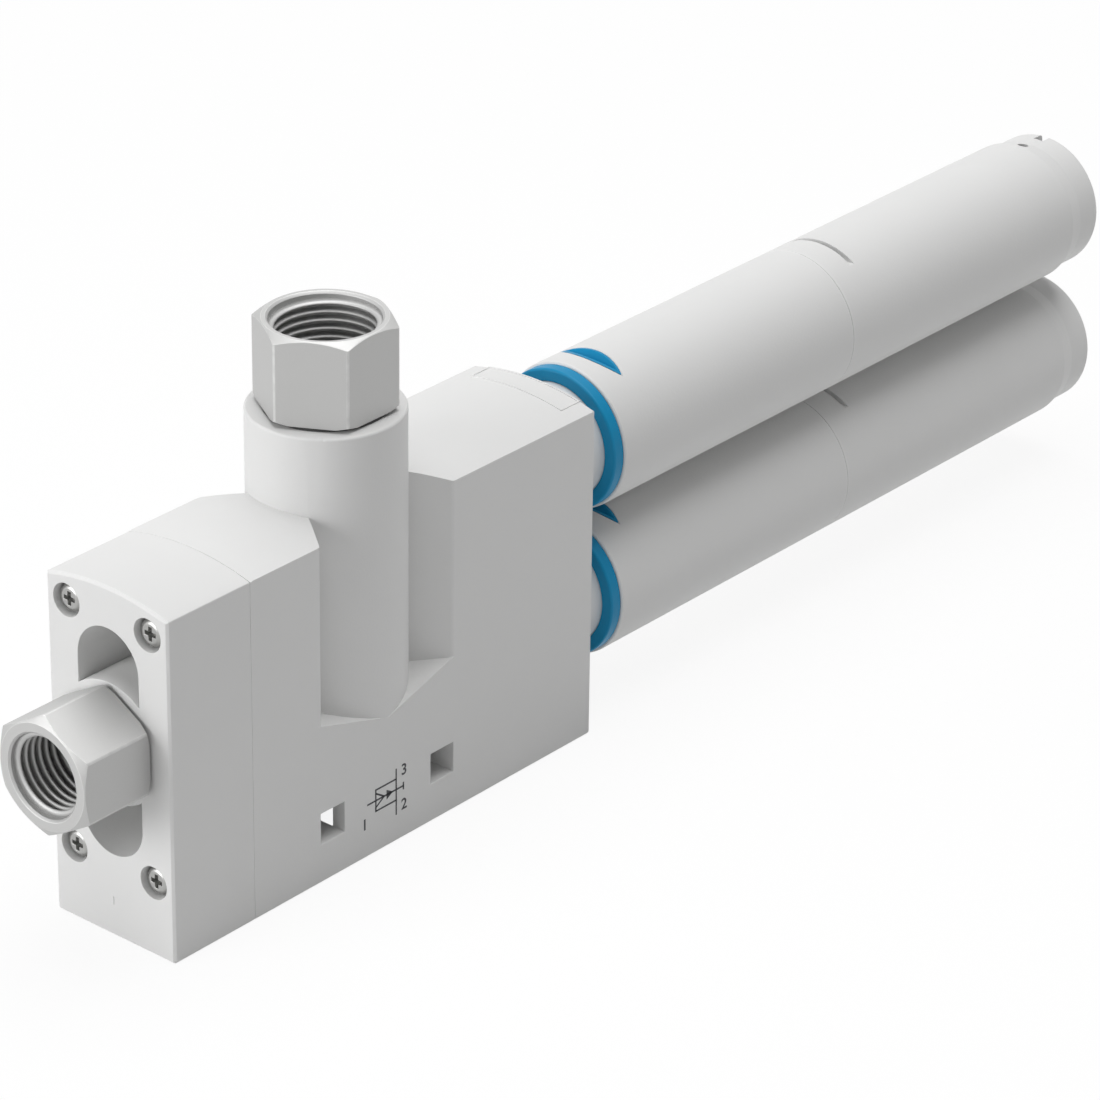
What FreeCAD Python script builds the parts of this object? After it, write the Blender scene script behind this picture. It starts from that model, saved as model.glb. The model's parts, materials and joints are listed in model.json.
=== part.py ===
import FreeCAD, Part
import math
import os
import Sketcher

# Inline vacuum ejector with two extended exhaust silencers.
# X runs from the pressure port to the exhaust ends, Z is up towards the vacuum port.
# The base lies on Z = 0, and the origin is in the middle of the whole length.
# Lengths along X are measured from the front face, and place() moves each piece to the origin.
# All lengths are millimetres.

DRIVING = {
    # Moulded block: cover and housing share one crowned section
    "body_width": 24.0,
    "side_above_port": 23.4,
    "crown_rise": 1.6,
    "base_rounding": 0.6,
    "front_bevel": 0.4,
    "cover_length": 16.7,
    "body_length": 92.2,
    "port_height": 32.2,
    "jet_spacing": 25.4,
    "play": 0.1,
    # Round tower and the recesses beside it
    "tower_x": 45.5,
    "tower_radius": 11.95,
    "tower_height": 69.4,
    "recess_half_span": 14.4,
    "recess_wall_run": 4.1,
    "recess_wall_depth": 6.0,
    "recess_corner": 0.8,
    "recess_floor": 22.0,
    "recess_floor_slope": 0.3,
    "recess_underfloor": 3.3,
    "web_half_width": 4.5,
    "window_size": 5.1,
    "window_foot": 6.65,
    "window_pitch": 24.1,
    "window_wall": 2.5,
    # Front face
    "lobe_radius": 6.0,
    "lobe_offset": 12.4,
    "lobe_depth": 11.5,
    "boss_radius": 9.75,
    "screw_half_width": 8.0,
    "screw_half_height": 20.05,
    "screw_sink_radius": 2.6,
    "screw_sink_depth": 2.7,
    "screw_head_radius": 2.3,
    "screw_head_height": 2.1,
    "screw_head_side": 1.0,
    "screw_head_flat": 1.4,
    "screw_dome_radius": 1.1,
    "screw_core_radius": 1.25,
    "screw_length": 26.0,
    "screw_point": 0.7,
    "screw_clearance": 0.35,
    "screw_drive_width": 0.7,
    "screw_drive_span": 2.2,
    "screw_drive_depth": 1.2,
    # Air ways and inner seats of the housing
    "gallery_radius": 6.2,
    "gallery_depth": 5.0,
    "gasket_inner": 6.9,
    "gasket_width": 1.5,
    "gasket_depth": 1.4,
    "chamber_radius": 7.6,
    "chamber_floor": 13.6,
    "jet_flange_radius": 5.0,
    "jet_flange_length": 2.0,
    "jet_radius": 4.1,
    "jet_reach": 4.6,
    "jet_throat": 0.85,
    "jet_throat_length": 1.0,
    "jet_entry": 3.0,
    "jet_mouth_length": 4.0,
    "jet_tip_wall": 0.65,
    "jet_groove": 7.0,
    "seal_section": 0.62,
    "seal_seat": 2.9,
    "seal_groove_width": 1.9,
    "receiver_radius": 4.4,
    "receiver_mouth": 3.3,
    "receiver_throat": 1.9,
    "receiver_flange": 7.0,
    "receiver_flange_length": 2.5,
    "receiver_distance": 3.0,
    "receiver_lip": 0.5,
    "receiver_taper": 2.0,
    "receiver_groove": 8.0,
    "receiver_throat_start": 5.0,
    "receiver_throat_end": 16.0,
    "outlet_bore": 7.1,
    "outlet_seat_depth": 4.2,
    "outlet_radius": 9.5,
    "outlet_length": 15.0,
    # Hexagonal port fittings
    "seal_gap": 0.5,
    "pressure_seal_wall": 0.9,
    "vacuum_seal_wall": 0.5,
    "shank_bevel": 0.6,
    "thread_bevel": 0.35,
    "thread_runout": 0.8,
    "pressure_hex": 17.0,
    "pressure_reach": 13.5,
    "pressure_face": 8.3,
    "pressure_thread": 6.58,
    "pressure_thread_length": 11.0,
    "pressure_shank": 6.8,
    "pressure_shank_length": 10.5,
    "pressure_way": 4.5,
    "vacuum_hex": 19.0,
    "vacuum_reach": 14.1,
    "vacuum_face": 9.3,
    "vacuum_thread": 8.33,
    "vacuum_thread_length": 12.0,
    "vacuum_shank": 8.8,
    "vacuum_shank_length": 11.5,
    "vacuum_way": 7.2,
    "hex_back_chamfer": 0.5,
    # Silencers
    "silencer_radius": 12.0,
    "silencer_distance": 7.3,
    "silencer_length": 56.9,
    "extension_body": 60.0,
    "neck_radius": 10.9,
    "end_neck_radius": 11.4,
    "neck_taper": 3.0,
    "neck_length": 8.6,
    "end_neck_length": 5.1,
    "socket_radius": 11.0,
    "socket_depth": 11.0,
    "silencer_bore": 10.2,
    "neck_bore": 9.7,
    "neck_bore_start": 3.0,
    "bore_step": 0.5,
    "socket_step": 0.8,
    "end_rounding": 0.8,
    "end_lip": 0.6,
    "end_lip_length": 1.0,
    "rim_rounding": 0.4,
    "collar_length": 2.0,
    "collar_radius": 11.6,
    "sleeve_length": 8.0,
    "joint_rounding": 0.15,
    "latch_distance": 5.7,
    "latch_fall": 2.1,
    "latch_rise": 1.6,
    "latch_depth": 1.95,
    "latch_skin": 0.5,
    "latch_gap": 0.15,
    "slit_distance": 5.4,
    "slit_width": 1.0,
    "slit_depth": 2.0,
    "foam_bore": 6.2,
    "foam_length": 38.0,
    "extension_foam_length": 44.0,
    "end_notch_width": 1.8,
    "end_notch_length": 2.5,
    "end_hole": 0.9,
    "end_hole_distance": 1.2,
}

DERIVED = {
    "half_width": "body_width / 2",
    "side_height": "port_height + side_above_port",
    "crown_height": "side_height + crown_rise",
    "crown_radius": "(half_width * half_width + crown_rise * crown_rise) / (2 * crown_rise)",
    "upper_height": "port_height + jet_spacing / 2",
    "lower_height": "port_height - jet_spacing / 2",
    "housing_length": "body_length - cover_length",
    "gallery_floor": "cover_length + gallery_depth",
    "chamber_front": "tower_x - chamber_radius",
    "chamber_rear": "tower_x + chamber_radius",
    "jet_tip": "chamber_front + jet_reach",
    "vacuum_seat": "tower_height + seal_gap",
    "outlet_end": "body_length + outlet_length",
    "outlet_seat": "body_length - outlet_seat_depth",
    "silencer_start": "body_length + silencer_distance",
    "collar_start": "silencer_start - play - collar_length",
    "extension_start": "silencer_start + silencer_length",
    "taper_start": "extension_start + extension_body",
    "extension_end": "taper_start + neck_taper + end_neck_length",
    "origin_x": "(extension_end - pressure_reach) / 2",
}

doc = FreeCAD.newDocument("vacuum_ejector")
sheet = doc.addObject("Spreadsheet::Sheet", "Sizes")


class Size:
    """A length with its value and the sheet expression that it comes from."""

    def __init__(self, text, value):
        self.text = text
        self.value = value

    def joined(self, sign, other, value):
        return Size("(%s %s %s)" % (self.text, sign, as_size(other).text), value)

    def __add__(self, other):
        return self.joined("+", other, self.value + as_size(other).value)

    def __sub__(self, other):
        return self.joined("-", other, self.value - as_size(other).value)

    def __mul__(self, other):
        return self.joined("*", other, self.value * as_size(other).value)

    __rmul__ = __mul__

    def __truediv__(self, other):
        return self.joined("/", other, self.value / as_size(other).value)

    def __neg__(self):
        return Size("(0 - %s)" % self.text, -self.value)


def as_size(item):
    if isinstance(item, Size):
        return item
    return Size(repr(float(item)), float(item))


def root(item):
    return Size("sqrt(%s)" % item.text, math.sqrt(item.value))


def tangent(degrees):
    return math.tan(math.radians(degrees))


class Sheet:
    """Reads the sheet's cells by name as Size values."""

    def __getattr__(self, name):
        return Size("Sizes.%s" % name, float(getattr(sheet, name)))


def fill_sheet():
    cells = [(name, repr(value)) for name, value in DRIVING.items()]
    cells += [(name, "=" + text) for name, text in DERIVED.items()]
    for row, (name, content) in enumerate(cells, start=1):
        sheet.set("A%d" % row, name)
        sheet.set("B%d" % row, content)
        sheet.setAlias("B%d" % row, name)
    doc.recompute()


fill_sheet()
d = Sheet()

# Angle of the chamfers on the hexagons' ends, from the end face
CHAMFER_ANGLE = 30
# How far a cut or a joined form reaches past the face that it meets
PAST = 1.0
PLANES = {"XY": "XY_Plane", "XZ": "XZ_Plane", "YZ": "YZ_Plane"}


def new_body(name):
    body = doc.addObject("PartDesign::Body", name)
    body.Label = name
    return body


def place(item, x=0.0, z=0.0):
    """Puts a piece at a distance from the front face and at a height."""
    for axis, size in (("x", as_size(x) - d.origin_x), ("z", z)):
        size = as_size(size)
        setattr(item.Placement.Base, axis, size.value)
        item.setExpression("Placement.Base.%s" % axis, size.text)


def new_sketch(body, plane, name, right=0.0, up=0.0, out=0.0):
    """A sketch on one of the body's own planes, moved in that plane and off it."""
    sketch = body.newObject("Sketcher::SketchObject", name)
    role = PLANES[plane]
    support = [item for item in body.Origin.OriginFeatures if item.Role == role][0]
    sketch.AttachmentSupport = [(support, "")]
    sketch.MapMode = "FlatFace"
    for axis, size in (("x", right), ("y", up), ("z", out)):
        size = as_size(size)
        sketch.setExpression("AttachmentOffset.Base.%s" % axis, size.text)
    return sketch


def pin(sketch, geometry, vertex, x, y):
    """Ties one point of a sketch to its place from the sketch's origin."""
    for kind, size, axis in (("DistanceX", as_size(x), -2), ("DistanceY", as_size(y), -1)):
        if size.value == 0.0 and "Sizes" not in size.text:
            sketch.addConstraint(Sketcher.Constraint("PointOnObject", geometry, vertex, axis))
            continue
        row = sketch.addConstraint(Sketcher.Constraint(kind, -1, 1, geometry, vertex, size.value))
        sketch.setExpression("Constraints[%d]" % row, size.text)


def arc_between(start, end, radius, turn):
    """The short arc of a radius from start to end, turning left (1) or right (-1)."""
    chord = end - start
    half = chord.Length / 2
    lift = math.sqrt(max(radius * radius - half * half, 0.0))
    side = FreeCAD.Vector(-chord.y, chord.x, 0).normalize() * turn
    centre = start + chord * 0.5 + side * lift
    middle = centre - side * radius
    return Part.Arc(start, middle, end), centre


def outline(sketch, corners):
    """A closed loop. A corner is (x, y), or (x, y, radius, turn) when an arc leads to it."""
    points = [FreeCAD.Vector(as_size(c[0]).value, as_size(c[1]).value, 0) for c in corners]
    count = len(corners)
    ends = []
    for index in range(count):
        following = (index + 1) % count
        target = corners[following]
        if len(target) == 2:
            row = sketch.addGeometry(Part.LineSegment(points[index], points[following]))
            ends.append((row, 1, 2))
            continue
        radius = as_size(target[2])
        arc, centre = arc_between(points[index], points[following], radius.value, target[3])
        row = sketch.addGeometry(arc)
        ends.append((row, 1, 2) if target[3] > 0 else (row, 2, 1))
    for index in range(count):
        following = (index + 1) % count
        first, second = ends[index], ends[following]
        sketch.addConstraint(Sketcher.Constraint("Coincident", first[0], first[2], second[0], second[1]))
    for index in range(count):
        pin(sketch, ends[index][0], ends[index][1], corners[index][0], corners[index][1])
    for index in range(count):
        target = corners[(index + 1) % count]
        if len(target) == 4:
            radius = as_size(target[2])
            row = sketch.addConstraint(Sketcher.Constraint("Radius", ends[index][0], radius.value))
            sketch.setExpression("Constraints[%d]" % row, radius.text)


def circle(sketch, x, y, radius):
    x, y, radius = as_size(x), as_size(y), as_size(radius)
    centre = FreeCAD.Vector(x.value, y.value, 0)
    row = sketch.addGeometry(Part.Circle(centre, FreeCAD.Vector(0, 0, 1), radius.value))
    pin(sketch, row, 3, x, y)
    size_row = sketch.addConstraint(Sketcher.Constraint("Radius", row, radius.value))
    sketch.setExpression("Constraints[%d]" % size_row, radius.text)


def stadium(sketch, x, y, reach, radius):
    """An upright slot outline: round ends of a radius, centres a reach above and below."""
    top, foot = as_size(y) + reach, as_size(y) - reach
    left, right = as_size(x) - radius, as_size(x) + radius
    corners = [(left, foot)]
    corners += [(x, foot - radius, radius, 1), (right, foot, radius, 1)]
    corners += [(right, top)]
    corners += [(x, top + radius, radius, 1), (left, top, radius, 1)]
    outline(sketch, corners)


def hexagon(sketch, across, turn):
    """A hexagon from its size across flats, with its first corner at a turn in degrees."""
    reach = as_size(across) / math.sqrt(3.0)
    corners = []
    for step in range(6):
        angle = math.radians(turn + 60 * step)
        corners.append((reach * round(math.cos(angle), 9), reach * round(math.sin(angle), 9)))
    outline(sketch, corners)


def volume(body):
    doc.recompute()
    return body.Shape.Volume if body.Shape and not body.Shape.isNull() else 0.0


def check_change(body, before, sign, name):
    after = volume(body)
    if (after - before) * sign <= 0.0:
        raise RuntimeError("%s changed nothing on %s" % (name, body.Label))


def pad(body, sketch, length, backward=False):
    before = volume(body)
    feature = body.newObject("PartDesign::Pad", sketch.Name + "_pad")
    feature.Profile = sketch
    feature.setExpression("Length", as_size(length).text)
    feature.Reversed = backward
    sketch.Visibility = False
    check_change(body, before, 1, feature.Name)
    return feature


def pad_both(body, sketch, length):
    before = volume(body)
    feature = body.newObject("PartDesign::Pad", sketch.Name + "_pad")
    feature.Profile = sketch
    feature.SideType = "Symmetric"
    feature.setExpression("Length", as_size(length).text)
    check_change(body, before, 1, feature.Name)
    return feature


def pocket(body, sketch, length, forward=False):
    """Cuts against the sketch's normal, or along it when forward is set."""
    before = volume(body)
    feature = body.newObject("PartDesign::Pocket", sketch.Name + "_pocket")
    feature.Profile = sketch
    feature.setExpression("Length", as_size(length).text)
    feature.Reversed = forward
    check_change(body, before, -1, feature.Name)
    return feature


def pocket_both(body, sketch, length):
    before = volume(body)
    feature = body.newObject("PartDesign::Pocket", sketch.Name + "_pocket")
    feature.Profile = sketch
    feature.SideType = "Symmetric"
    feature.setExpression("Length", as_size(length).text)
    check_change(body, before, -1, feature.Name)
    return feature


def revolve(body, sketch, axis="H_Axis"):
    before = volume(body)
    feature = body.newObject("PartDesign::Revolution", sketch.Name + "_turn")
    feature.Profile = sketch
    feature.ReferenceAxis = (sketch, [axis])
    feature.Angle = 360.0
    check_change(body, before, 1, feature.Name)
    return feature


def groove(body, sketch, axis="H_Axis"):
    before = volume(body)
    feature = body.newObject("PartDesign::Groove", sketch.Name + "_groove")
    feature.Profile = sketch
    feature.ReferenceAxis = (sketch, [axis])
    feature.Angle = 360.0
    check_change(body, before, -1, feature.Name)
    return feature


def turned(name, corners, height):
    """A piece turned about the X axis at a height, from its half section."""
    body = new_body(name)
    sketch = new_sketch(body, "XY", name + "_section")
    outline(sketch, corners)
    revolve(body, sketch)
    place(body, z=height)
    return body


def crowned_section(sketch):
    """The block's section across its length: flat base, plain sides and a crowned top."""
    half, edge = d.half_width, d.base_rounding
    corners = [(edge - half, 0, edge, 1), (half - edge, 0), (half, edge, edge, 1)]
    corners += [(half, d.side_height), (-half, d.side_height, d.crown_radius, 1), (-half, edge)]
    outline(sketch, corners)


def bevel_end(body, x, size, name):
    """Bevels the outer edges of the end face that lies at one X."""
    base = body.Tip
    found = []
    for number, edge in enumerate(base.Shape.Edges, start=1):
        box = edge.BoundBox
        if abs(box.XMin - x) < 1e-4 and abs(box.XMax - x) < 1e-4:
            found.append("Edge%d" % number)
    feature = body.newObject("PartDesign::Chamfer", name)
    feature.Base = (base, found)
    feature.setExpression("Size", as_size(size).text)
    doc.recompute()
    return feature


def make_housing():
    body = new_body("main_housing")
    block = new_sketch(body, "YZ", "housing_section", out=d.cover_length)
    crowned_section(block)
    pad(body, block, d.housing_length)
    bevel_end(body, d.body_length.value, d.front_bevel, "housing_rear_edges")
    cut_recesses(body)
    raise_tower(body)
    add_outlets(body)
    cut_windows(body)
    cut_base_recess(body)
    cut_air_ways(body)
    cut_cover_seat(body)
    place(body)
    return body


def recess_outline(sketch, side):
    """One recess in plan, from outside the side face to the web beside the tower."""
    slope = d.recess_wall_run / d.recess_wall_depth
    outside = d.half_width + PAST
    inside = d.web_half_width
    span = d.recess_half_span
    run_in = slope * (d.half_width - inside)
    length = root(d.recess_wall_run * d.recess_wall_run + d.recess_wall_depth * d.recess_wall_depth)
    cosine = d.recess_wall_run / length
    sine = d.recess_wall_depth / length
    # Distance from the sharp corner to where its rounding starts, along the face and the wall
    trim = d.recess_corner * (Size("1", 1.0) - cosine) / sine
    face_x = span + trim
    wall_x = span - trim * cosine
    wall_y = d.half_width - trim * sine
    centre = d.tower_x
    turn = 1 if side > 0 else -1

    def at(x, y):
        return (centre + x, y if side > 0 else -y)

    corners = [at(-face_x, outside), at(face_x, outside), at(face_x, d.half_width)]
    corners += [at(wall_x, wall_y) + (d.recess_corner, turn)]
    corners += [at(span - run_in, inside), at(run_in - span, inside)]
    corners += [at(-wall_x, wall_y)]
    corners += [at(-face_x, d.half_width) + (d.recess_corner, turn)]
    outline(sketch, corners)


def cut_recesses(body):
    """Recesses beside the tower, whose floors fall from both ends towards the tower."""
    flat = d.recess_floor - d.recess_underfloor
    for side, label in ((-1, "near"), (1, "far")):
        sketch = new_sketch(body, "XY", "recess_plan_" + label, out=d.crown_height + PAST)
        recess_outline(sketch, side)
        pocket(body, sketch, d.crown_height + PAST - flat)
    floor = new_sketch(body, "XZ", "recess_floor_section")
    # The floor reaches past the rounded ends of both recesses
    reach = d.recess_half_span + d.recess_corner
    left, right = d.tower_x - reach, d.tower_x + reach
    rim = d.recess_floor + reach * d.recess_floor_slope
    corners = [(left, flat - PAST), (right, flat - PAST), (right, rim)]
    corners += [(d.tower_x, d.recess_floor), (left, rim)]
    outline(floor, corners)
    pad_both(body, floor, d.body_width)


def raise_tower(body):
    foot = d.recess_floor - d.recess_underfloor
    sketch = new_sketch(body, "XY", "tower_plan", out=foot)
    circle(sketch, d.tower_x, 0, d.tower_radius)
    pad(body, sketch, d.tower_height - foot)
    rim = new_sketch(body, "XZ", "tower_rim_section", right=d.tower_x)
    edge = d.rim_rounding
    wide, top = d.tower_radius + PAST, d.tower_height + PAST
    corners = [(d.tower_radius - edge, d.tower_height)]
    corners += [(d.tower_radius, d.tower_height - edge, edge, -1)]
    corners += [(wide, d.tower_height - edge), (wide, top), (d.tower_radius - edge, top)]
    outline(rim, corners)
    groove(body, rim, "V_Axis")


def add_outlets(body):
    sketch = new_sketch(body, "YZ", "outlet_plan", out=d.body_length - PAST)
    for height in (d.lower_height, d.upper_height):
        circle(sketch, 0, height, d.outlet_radius)
    pad(body, sketch, d.outlet_length + PAST)


def cut_windows(body):
    sketch = new_sketch(body, "XZ", "window_section")
    half, foot = d.window_size / 2, d.window_foot
    for sign in (-1, 1):
        middle = d.tower_x + d.window_pitch / 2 * sign
        left, right, top = middle - half, middle + half, foot + d.window_size
        outline(sketch, [(left, foot), (right, foot), (right, top), (left, top)])
    pocket_both(body, sketch, d.body_width + 2 * PAST)


def cut_base_recess(body):
    """Recess for a mounting foot, between the windows and open to both of them."""
    sketch = new_sketch(body, "XY", "base_recess_plan", out=-PAST)
    half_length = (d.window_pitch - d.window_size) / 2
    left, right = d.tower_x - half_length, d.tower_x + half_length
    near, far = d.window_wall - d.half_width, d.half_width - d.window_wall
    outline(sketch, [(left, near), (right, near), (right, far), (left, far)])
    pocket(body, sketch, d.window_foot + d.window_size + PAST, forward=True)


def cut_air_ways(body):
    """Vacuum chamber from the tower's mouth, then the two jet lines along the block."""
    seat = new_sketch(body, "XZ", "chamber_section", right=d.tower_x)
    shank_end = d.vacuum_seat - d.vacuum_shank_length - d.play
    wide = d.vacuum_shank + d.play
    corners = [(0, d.chamber_floor), (d.chamber_radius, d.chamber_floor)]
    corners += [(d.chamber_radius, shank_end), (wide, shank_end)]
    corners += [(wide, d.tower_height + PAST), (0, d.tower_height + PAST)]
    outline(seat, corners)
    groove(body, seat, "V_Axis")
    for height, label in ((d.lower_height, "lower"), (d.upper_height, "upper")):
        line = new_sketch(body, "XZ", label + "_line_section", up=height)
        start = d.gallery_floor - PAST
        flange_end = d.gallery_floor + d.jet_flange_length
        corners = [(start, 0), (d.outlet_end + PAST, 0)]
        corners += [(d.outlet_end + PAST, d.outlet_bore), (d.outlet_seat, d.outlet_bore)]
        corners += [(d.outlet_seat, d.receiver_radius + d.play)]
        corners += [(d.tower_x, d.receiver_radius + d.play), (d.tower_x, d.jet_radius + d.play)]
        corners += [(flange_end, d.jet_radius + d.play), (flange_end, d.jet_flange_radius + d.play)]
        corners += [(start, d.jet_flange_radius + d.play)]
        outline(line, corners)
        groove(body, line)


def cut_cover_seat(body):
    """Pressure gallery, gasket groove and screw cores in the face behind the cover."""
    gallery = new_sketch(body, "YZ", "gallery_plan", out=d.cover_length)
    stadium(gallery, 0, d.port_height, d.jet_spacing / 2, d.gallery_radius)
    pocket(body, gallery, d.gallery_depth, forward=True)
    seat = new_sketch(body, "YZ", "gasket_groove_plan", out=d.cover_length)
    stadium(seat, 0, d.port_height, d.jet_spacing / 2, d.gasket_inner)
    stadium(seat, 0, d.port_height, d.jet_spacing / 2, d.gasket_inner + d.gasket_width)
    pocket(body, seat, d.gasket_depth, forward=True)
    cores = new_sketch(body, "YZ", "screw_core_plan", out=d.cover_length)
    for y, z in screw_places():
        circle(cores, y, z, d.screw_core_radius + d.play / 2)
    depth = d.screw_sink_depth + d.screw_length - d.cover_length + PAST
    pocket(body, cores, depth, forward=True)


def screw_places():
    places = []
    for side in (-1, 1):
        for level in (-1, 1):
            y = d.screw_half_width * side
            z = d.port_height + d.screw_half_height * level
            places.append((y, z))
    return places


def make_cover():
    body = new_body("front_cover")
    block = new_sketch(body, "YZ", "cover_section")
    crowned_section(block)
    pad(body, block, d.cover_length)
    bevel_end(body, 0.0, d.front_bevel, "cover_front_edges")
    hollow = new_sketch(body, "YZ", "face_pocket_plan")
    stadium(hollow, 0, d.port_height, d.lobe_offset, d.lobe_radius)
    pocket(body, hollow, d.lobe_depth, forward=True)
    boss = new_sketch(body, "YZ", "port_boss_plan")
    circle(boss, 0, d.port_height, d.boss_radius)
    pad(body, boss, d.lobe_depth + PAST)
    bore = new_sketch(body, "XZ", "port_bore_section", up=d.port_height)
    seat = d.pressure_shank_length - d.seal_gap + d.play
    wide = d.pressure_shank + d.play
    corners = [(-PAST, 0), (d.cover_length + PAST, 0), (d.cover_length + PAST, d.pressure_way)]
    corners += [(seat, d.pressure_way), (seat, wide), (-PAST, wide)]
    outline(bore, corners)
    groove(body, bore)
    sinks = new_sketch(body, "YZ", "screw_sink_plan")
    holes = new_sketch(body, "YZ", "screw_hole_plan")
    for y, z in screw_places():
        circle(sinks, y, z, d.screw_sink_radius)
        circle(holes, y, z, d.screw_core_radius + d.screw_clearance)
    pocket(body, sinks, d.screw_sink_depth, forward=True)
    pocket(body, holes, d.cover_length + PAST, forward=True)
    place(body)
    return body


def make_gasket():
    body = new_body("cover_gasket")
    sketch = new_sketch(body, "YZ", "gasket_plan", out=d.cover_length)
    inner = d.gasket_inner + d.play / 2
    outer = d.gasket_inner + d.gasket_width - d.play / 2
    stadium(sketch, 0, d.port_height, d.jet_spacing / 2, inner)
    stadium(sketch, 0, d.port_height, d.jet_spacing / 2, outer)
    pad(body, sketch, d.gasket_depth)
    place(body)
    return body


def make_screws():
    """Four pan-head screws with a cross recess, seated in the cover's sinks."""
    body = new_body("cover_screw_model")
    seat = d.screw_sink_depth
    face = seat - d.screw_head_height
    end, point = seat + d.screw_length, d.screw_point
    section = new_sketch(body, "XY", "screw_section")
    corners = [(face, 0), (face, d.screw_head_flat)]
    corners += [(seat - d.screw_head_side, d.screw_head_radius, d.screw_dome_radius, -1)]
    corners += [(seat, d.screw_head_radius), (seat, d.screw_core_radius)]
    corners += [(end - point, d.screw_core_radius), (end, d.screw_core_radius - point), (end, 0)]
    outline(section, corners)
    revolve(body, section)
    cross = new_sketch(body, "YZ", "drive_plan", out=face)
    arm, half = d.screw_drive_span / 2, d.screw_drive_width / 2
    corners = [(-half, -arm), (half, -arm), (half, -half), (arm, -half), (arm, half), (half, half)]
    corners += [(half, arm), (-half, arm), (-half, half), (-arm, half), (-arm, -half), (-half, -half)]
    outline(cross, corners)
    pocket(body, cross, d.screw_drive_depth, forward=True)
    doc.recompute()
    copies = []
    for y, z in screw_places():
        move = FreeCAD.Vector(-d.origin_x.value, y.value, z.value)
        copies.append(body.Shape.translated(move))
    group = doc.addObject("Part::Feature", "cover_screws")
    group.Label = "cover_screws"
    group.Shape = Part.makeCompound(copies)
    return group


def make_fitting(name, sizes):
    """A hexagonal port fitting on its own Z axis: shank down, hexagon up, threaded mouth on top.

    Its Z = 0 is the face of the part that it is pressed into.
    """
    body = new_body(name)
    foot, top = sizes["gap"], sizes["reach"]
    hexagon_plan = new_sketch(body, "XY", name + "_hexagon", out=foot)
    hexagon(hexagon_plan, sizes["across"], 0)
    pad(body, hexagon_plan, top - foot)
    corner = as_size(sizes["across"]) / math.sqrt(3.0)
    wide = corner + PAST
    slope = tangent(CHAMFER_ANGLE)
    ends = new_sketch(body, "XZ", name + "_end_chamfer")
    low = top - (wide - sizes["face"]) * slope
    outline(ends, [(sizes["face"], top), (wide, top), (wide, low)])
    groove(body, ends, "V_Axis")
    back = new_sketch(body, "XZ", name + "_back_chamfer")
    rise = d.hex_back_chamfer
    start = corner - rise / slope
    outline(back, [(start, foot), (wide, foot), (wide, foot + (wide - start) * slope)])
    groove(body, back, "V_Axis")
    shank = new_sketch(body, "XZ", name + "_shank_section")
    low = foot - sizes["shank_length"]
    edge = d.shank_bevel
    corners = [(0, low), (sizes["shank"] - edge, low), (sizes["shank"], low + edge)]
    corners += [(sizes["shank"], foot + PAST), (0, foot + PAST)]
    outline(shank, corners)
    revolve(body, shank, "V_Axis")
    bore = new_sketch(body, "XZ", name + "_bore_section")
    thread_end = top - sizes["thread_length"]
    runout = thread_end - d.thread_runout
    mouth = sizes["thread"] + d.thread_bevel
    corners = [(0, low - PAST), (sizes["way"], low - PAST), (sizes["way"], runout)]
    corners += [(sizes["thread"], thread_end), (sizes["thread"], top - d.thread_bevel)]
    corners += [(mouth, top), (mouth, top + PAST), (0, top + PAST)]
    outline(bore, corners)
    groove(body, bore, "V_Axis")
    return body


def make_fittings():
    pressure = {
        "gap": d.seal_gap,
        "reach": d.pressure_reach,
        "across": d.pressure_hex,
        "face": d.pressure_face,
        "thread": d.pressure_thread,
        "thread_length": d.pressure_thread_length,
        "shank": d.pressure_shank,
        "shank_length": d.pressure_shank_length,
        "way": d.pressure_way,
    }
    vacuum = {
        "gap": d.seal_gap,
        "reach": d.vacuum_reach,
        "across": d.vacuum_hex,
        "face": d.vacuum_face,
        "thread": d.vacuum_thread,
        "thread_length": d.vacuum_thread_length,
        "shank": d.vacuum_shank,
        "shank_length": d.vacuum_shank_length,
        "way": d.vacuum_way,
    }
    front = make_fitting("pressure_port_fitting", pressure)
    # Its own Z axis turned to point out of the front face, with a corner of the hexagon on top
    turn = FreeCAD.Rotation(FreeCAD.Vector(0, 1, 0), -90)
    front.Placement = FreeCAD.Placement(FreeCAD.Vector(), turn)
    place(front, z=d.port_height)
    top = make_fitting("vacuum_port_fitting", vacuum)
    place(top, x=d.tower_x, z=d.tower_height)
    return [front, top]


def make_port_seals():
    """Thin flat seals between the hexagons and the faces that they sit on."""
    inner = d.pressure_shank + d.play
    outer = inner + d.pressure_seal_wall
    corners = [(-d.seal_gap, inner), (0, inner), (0, outer), (-d.seal_gap, outer)]
    front = turned("pressure_port_seal", corners, d.port_height)
    top = new_body("vacuum_port_seal")
    sketch = new_sketch(top, "XZ", "vacuum_port_seal_section")
    inner = d.vacuum_shank + d.play
    outer = inner + d.vacuum_seal_wall
    outline(sketch, [(inner, 0), (outer, 0), (outer, d.seal_gap), (inner, d.seal_gap)])
    revolve(top, sketch, "V_Axis")
    place(top, x=d.tower_x, z=d.tower_height)
    return [front, top]


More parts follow.
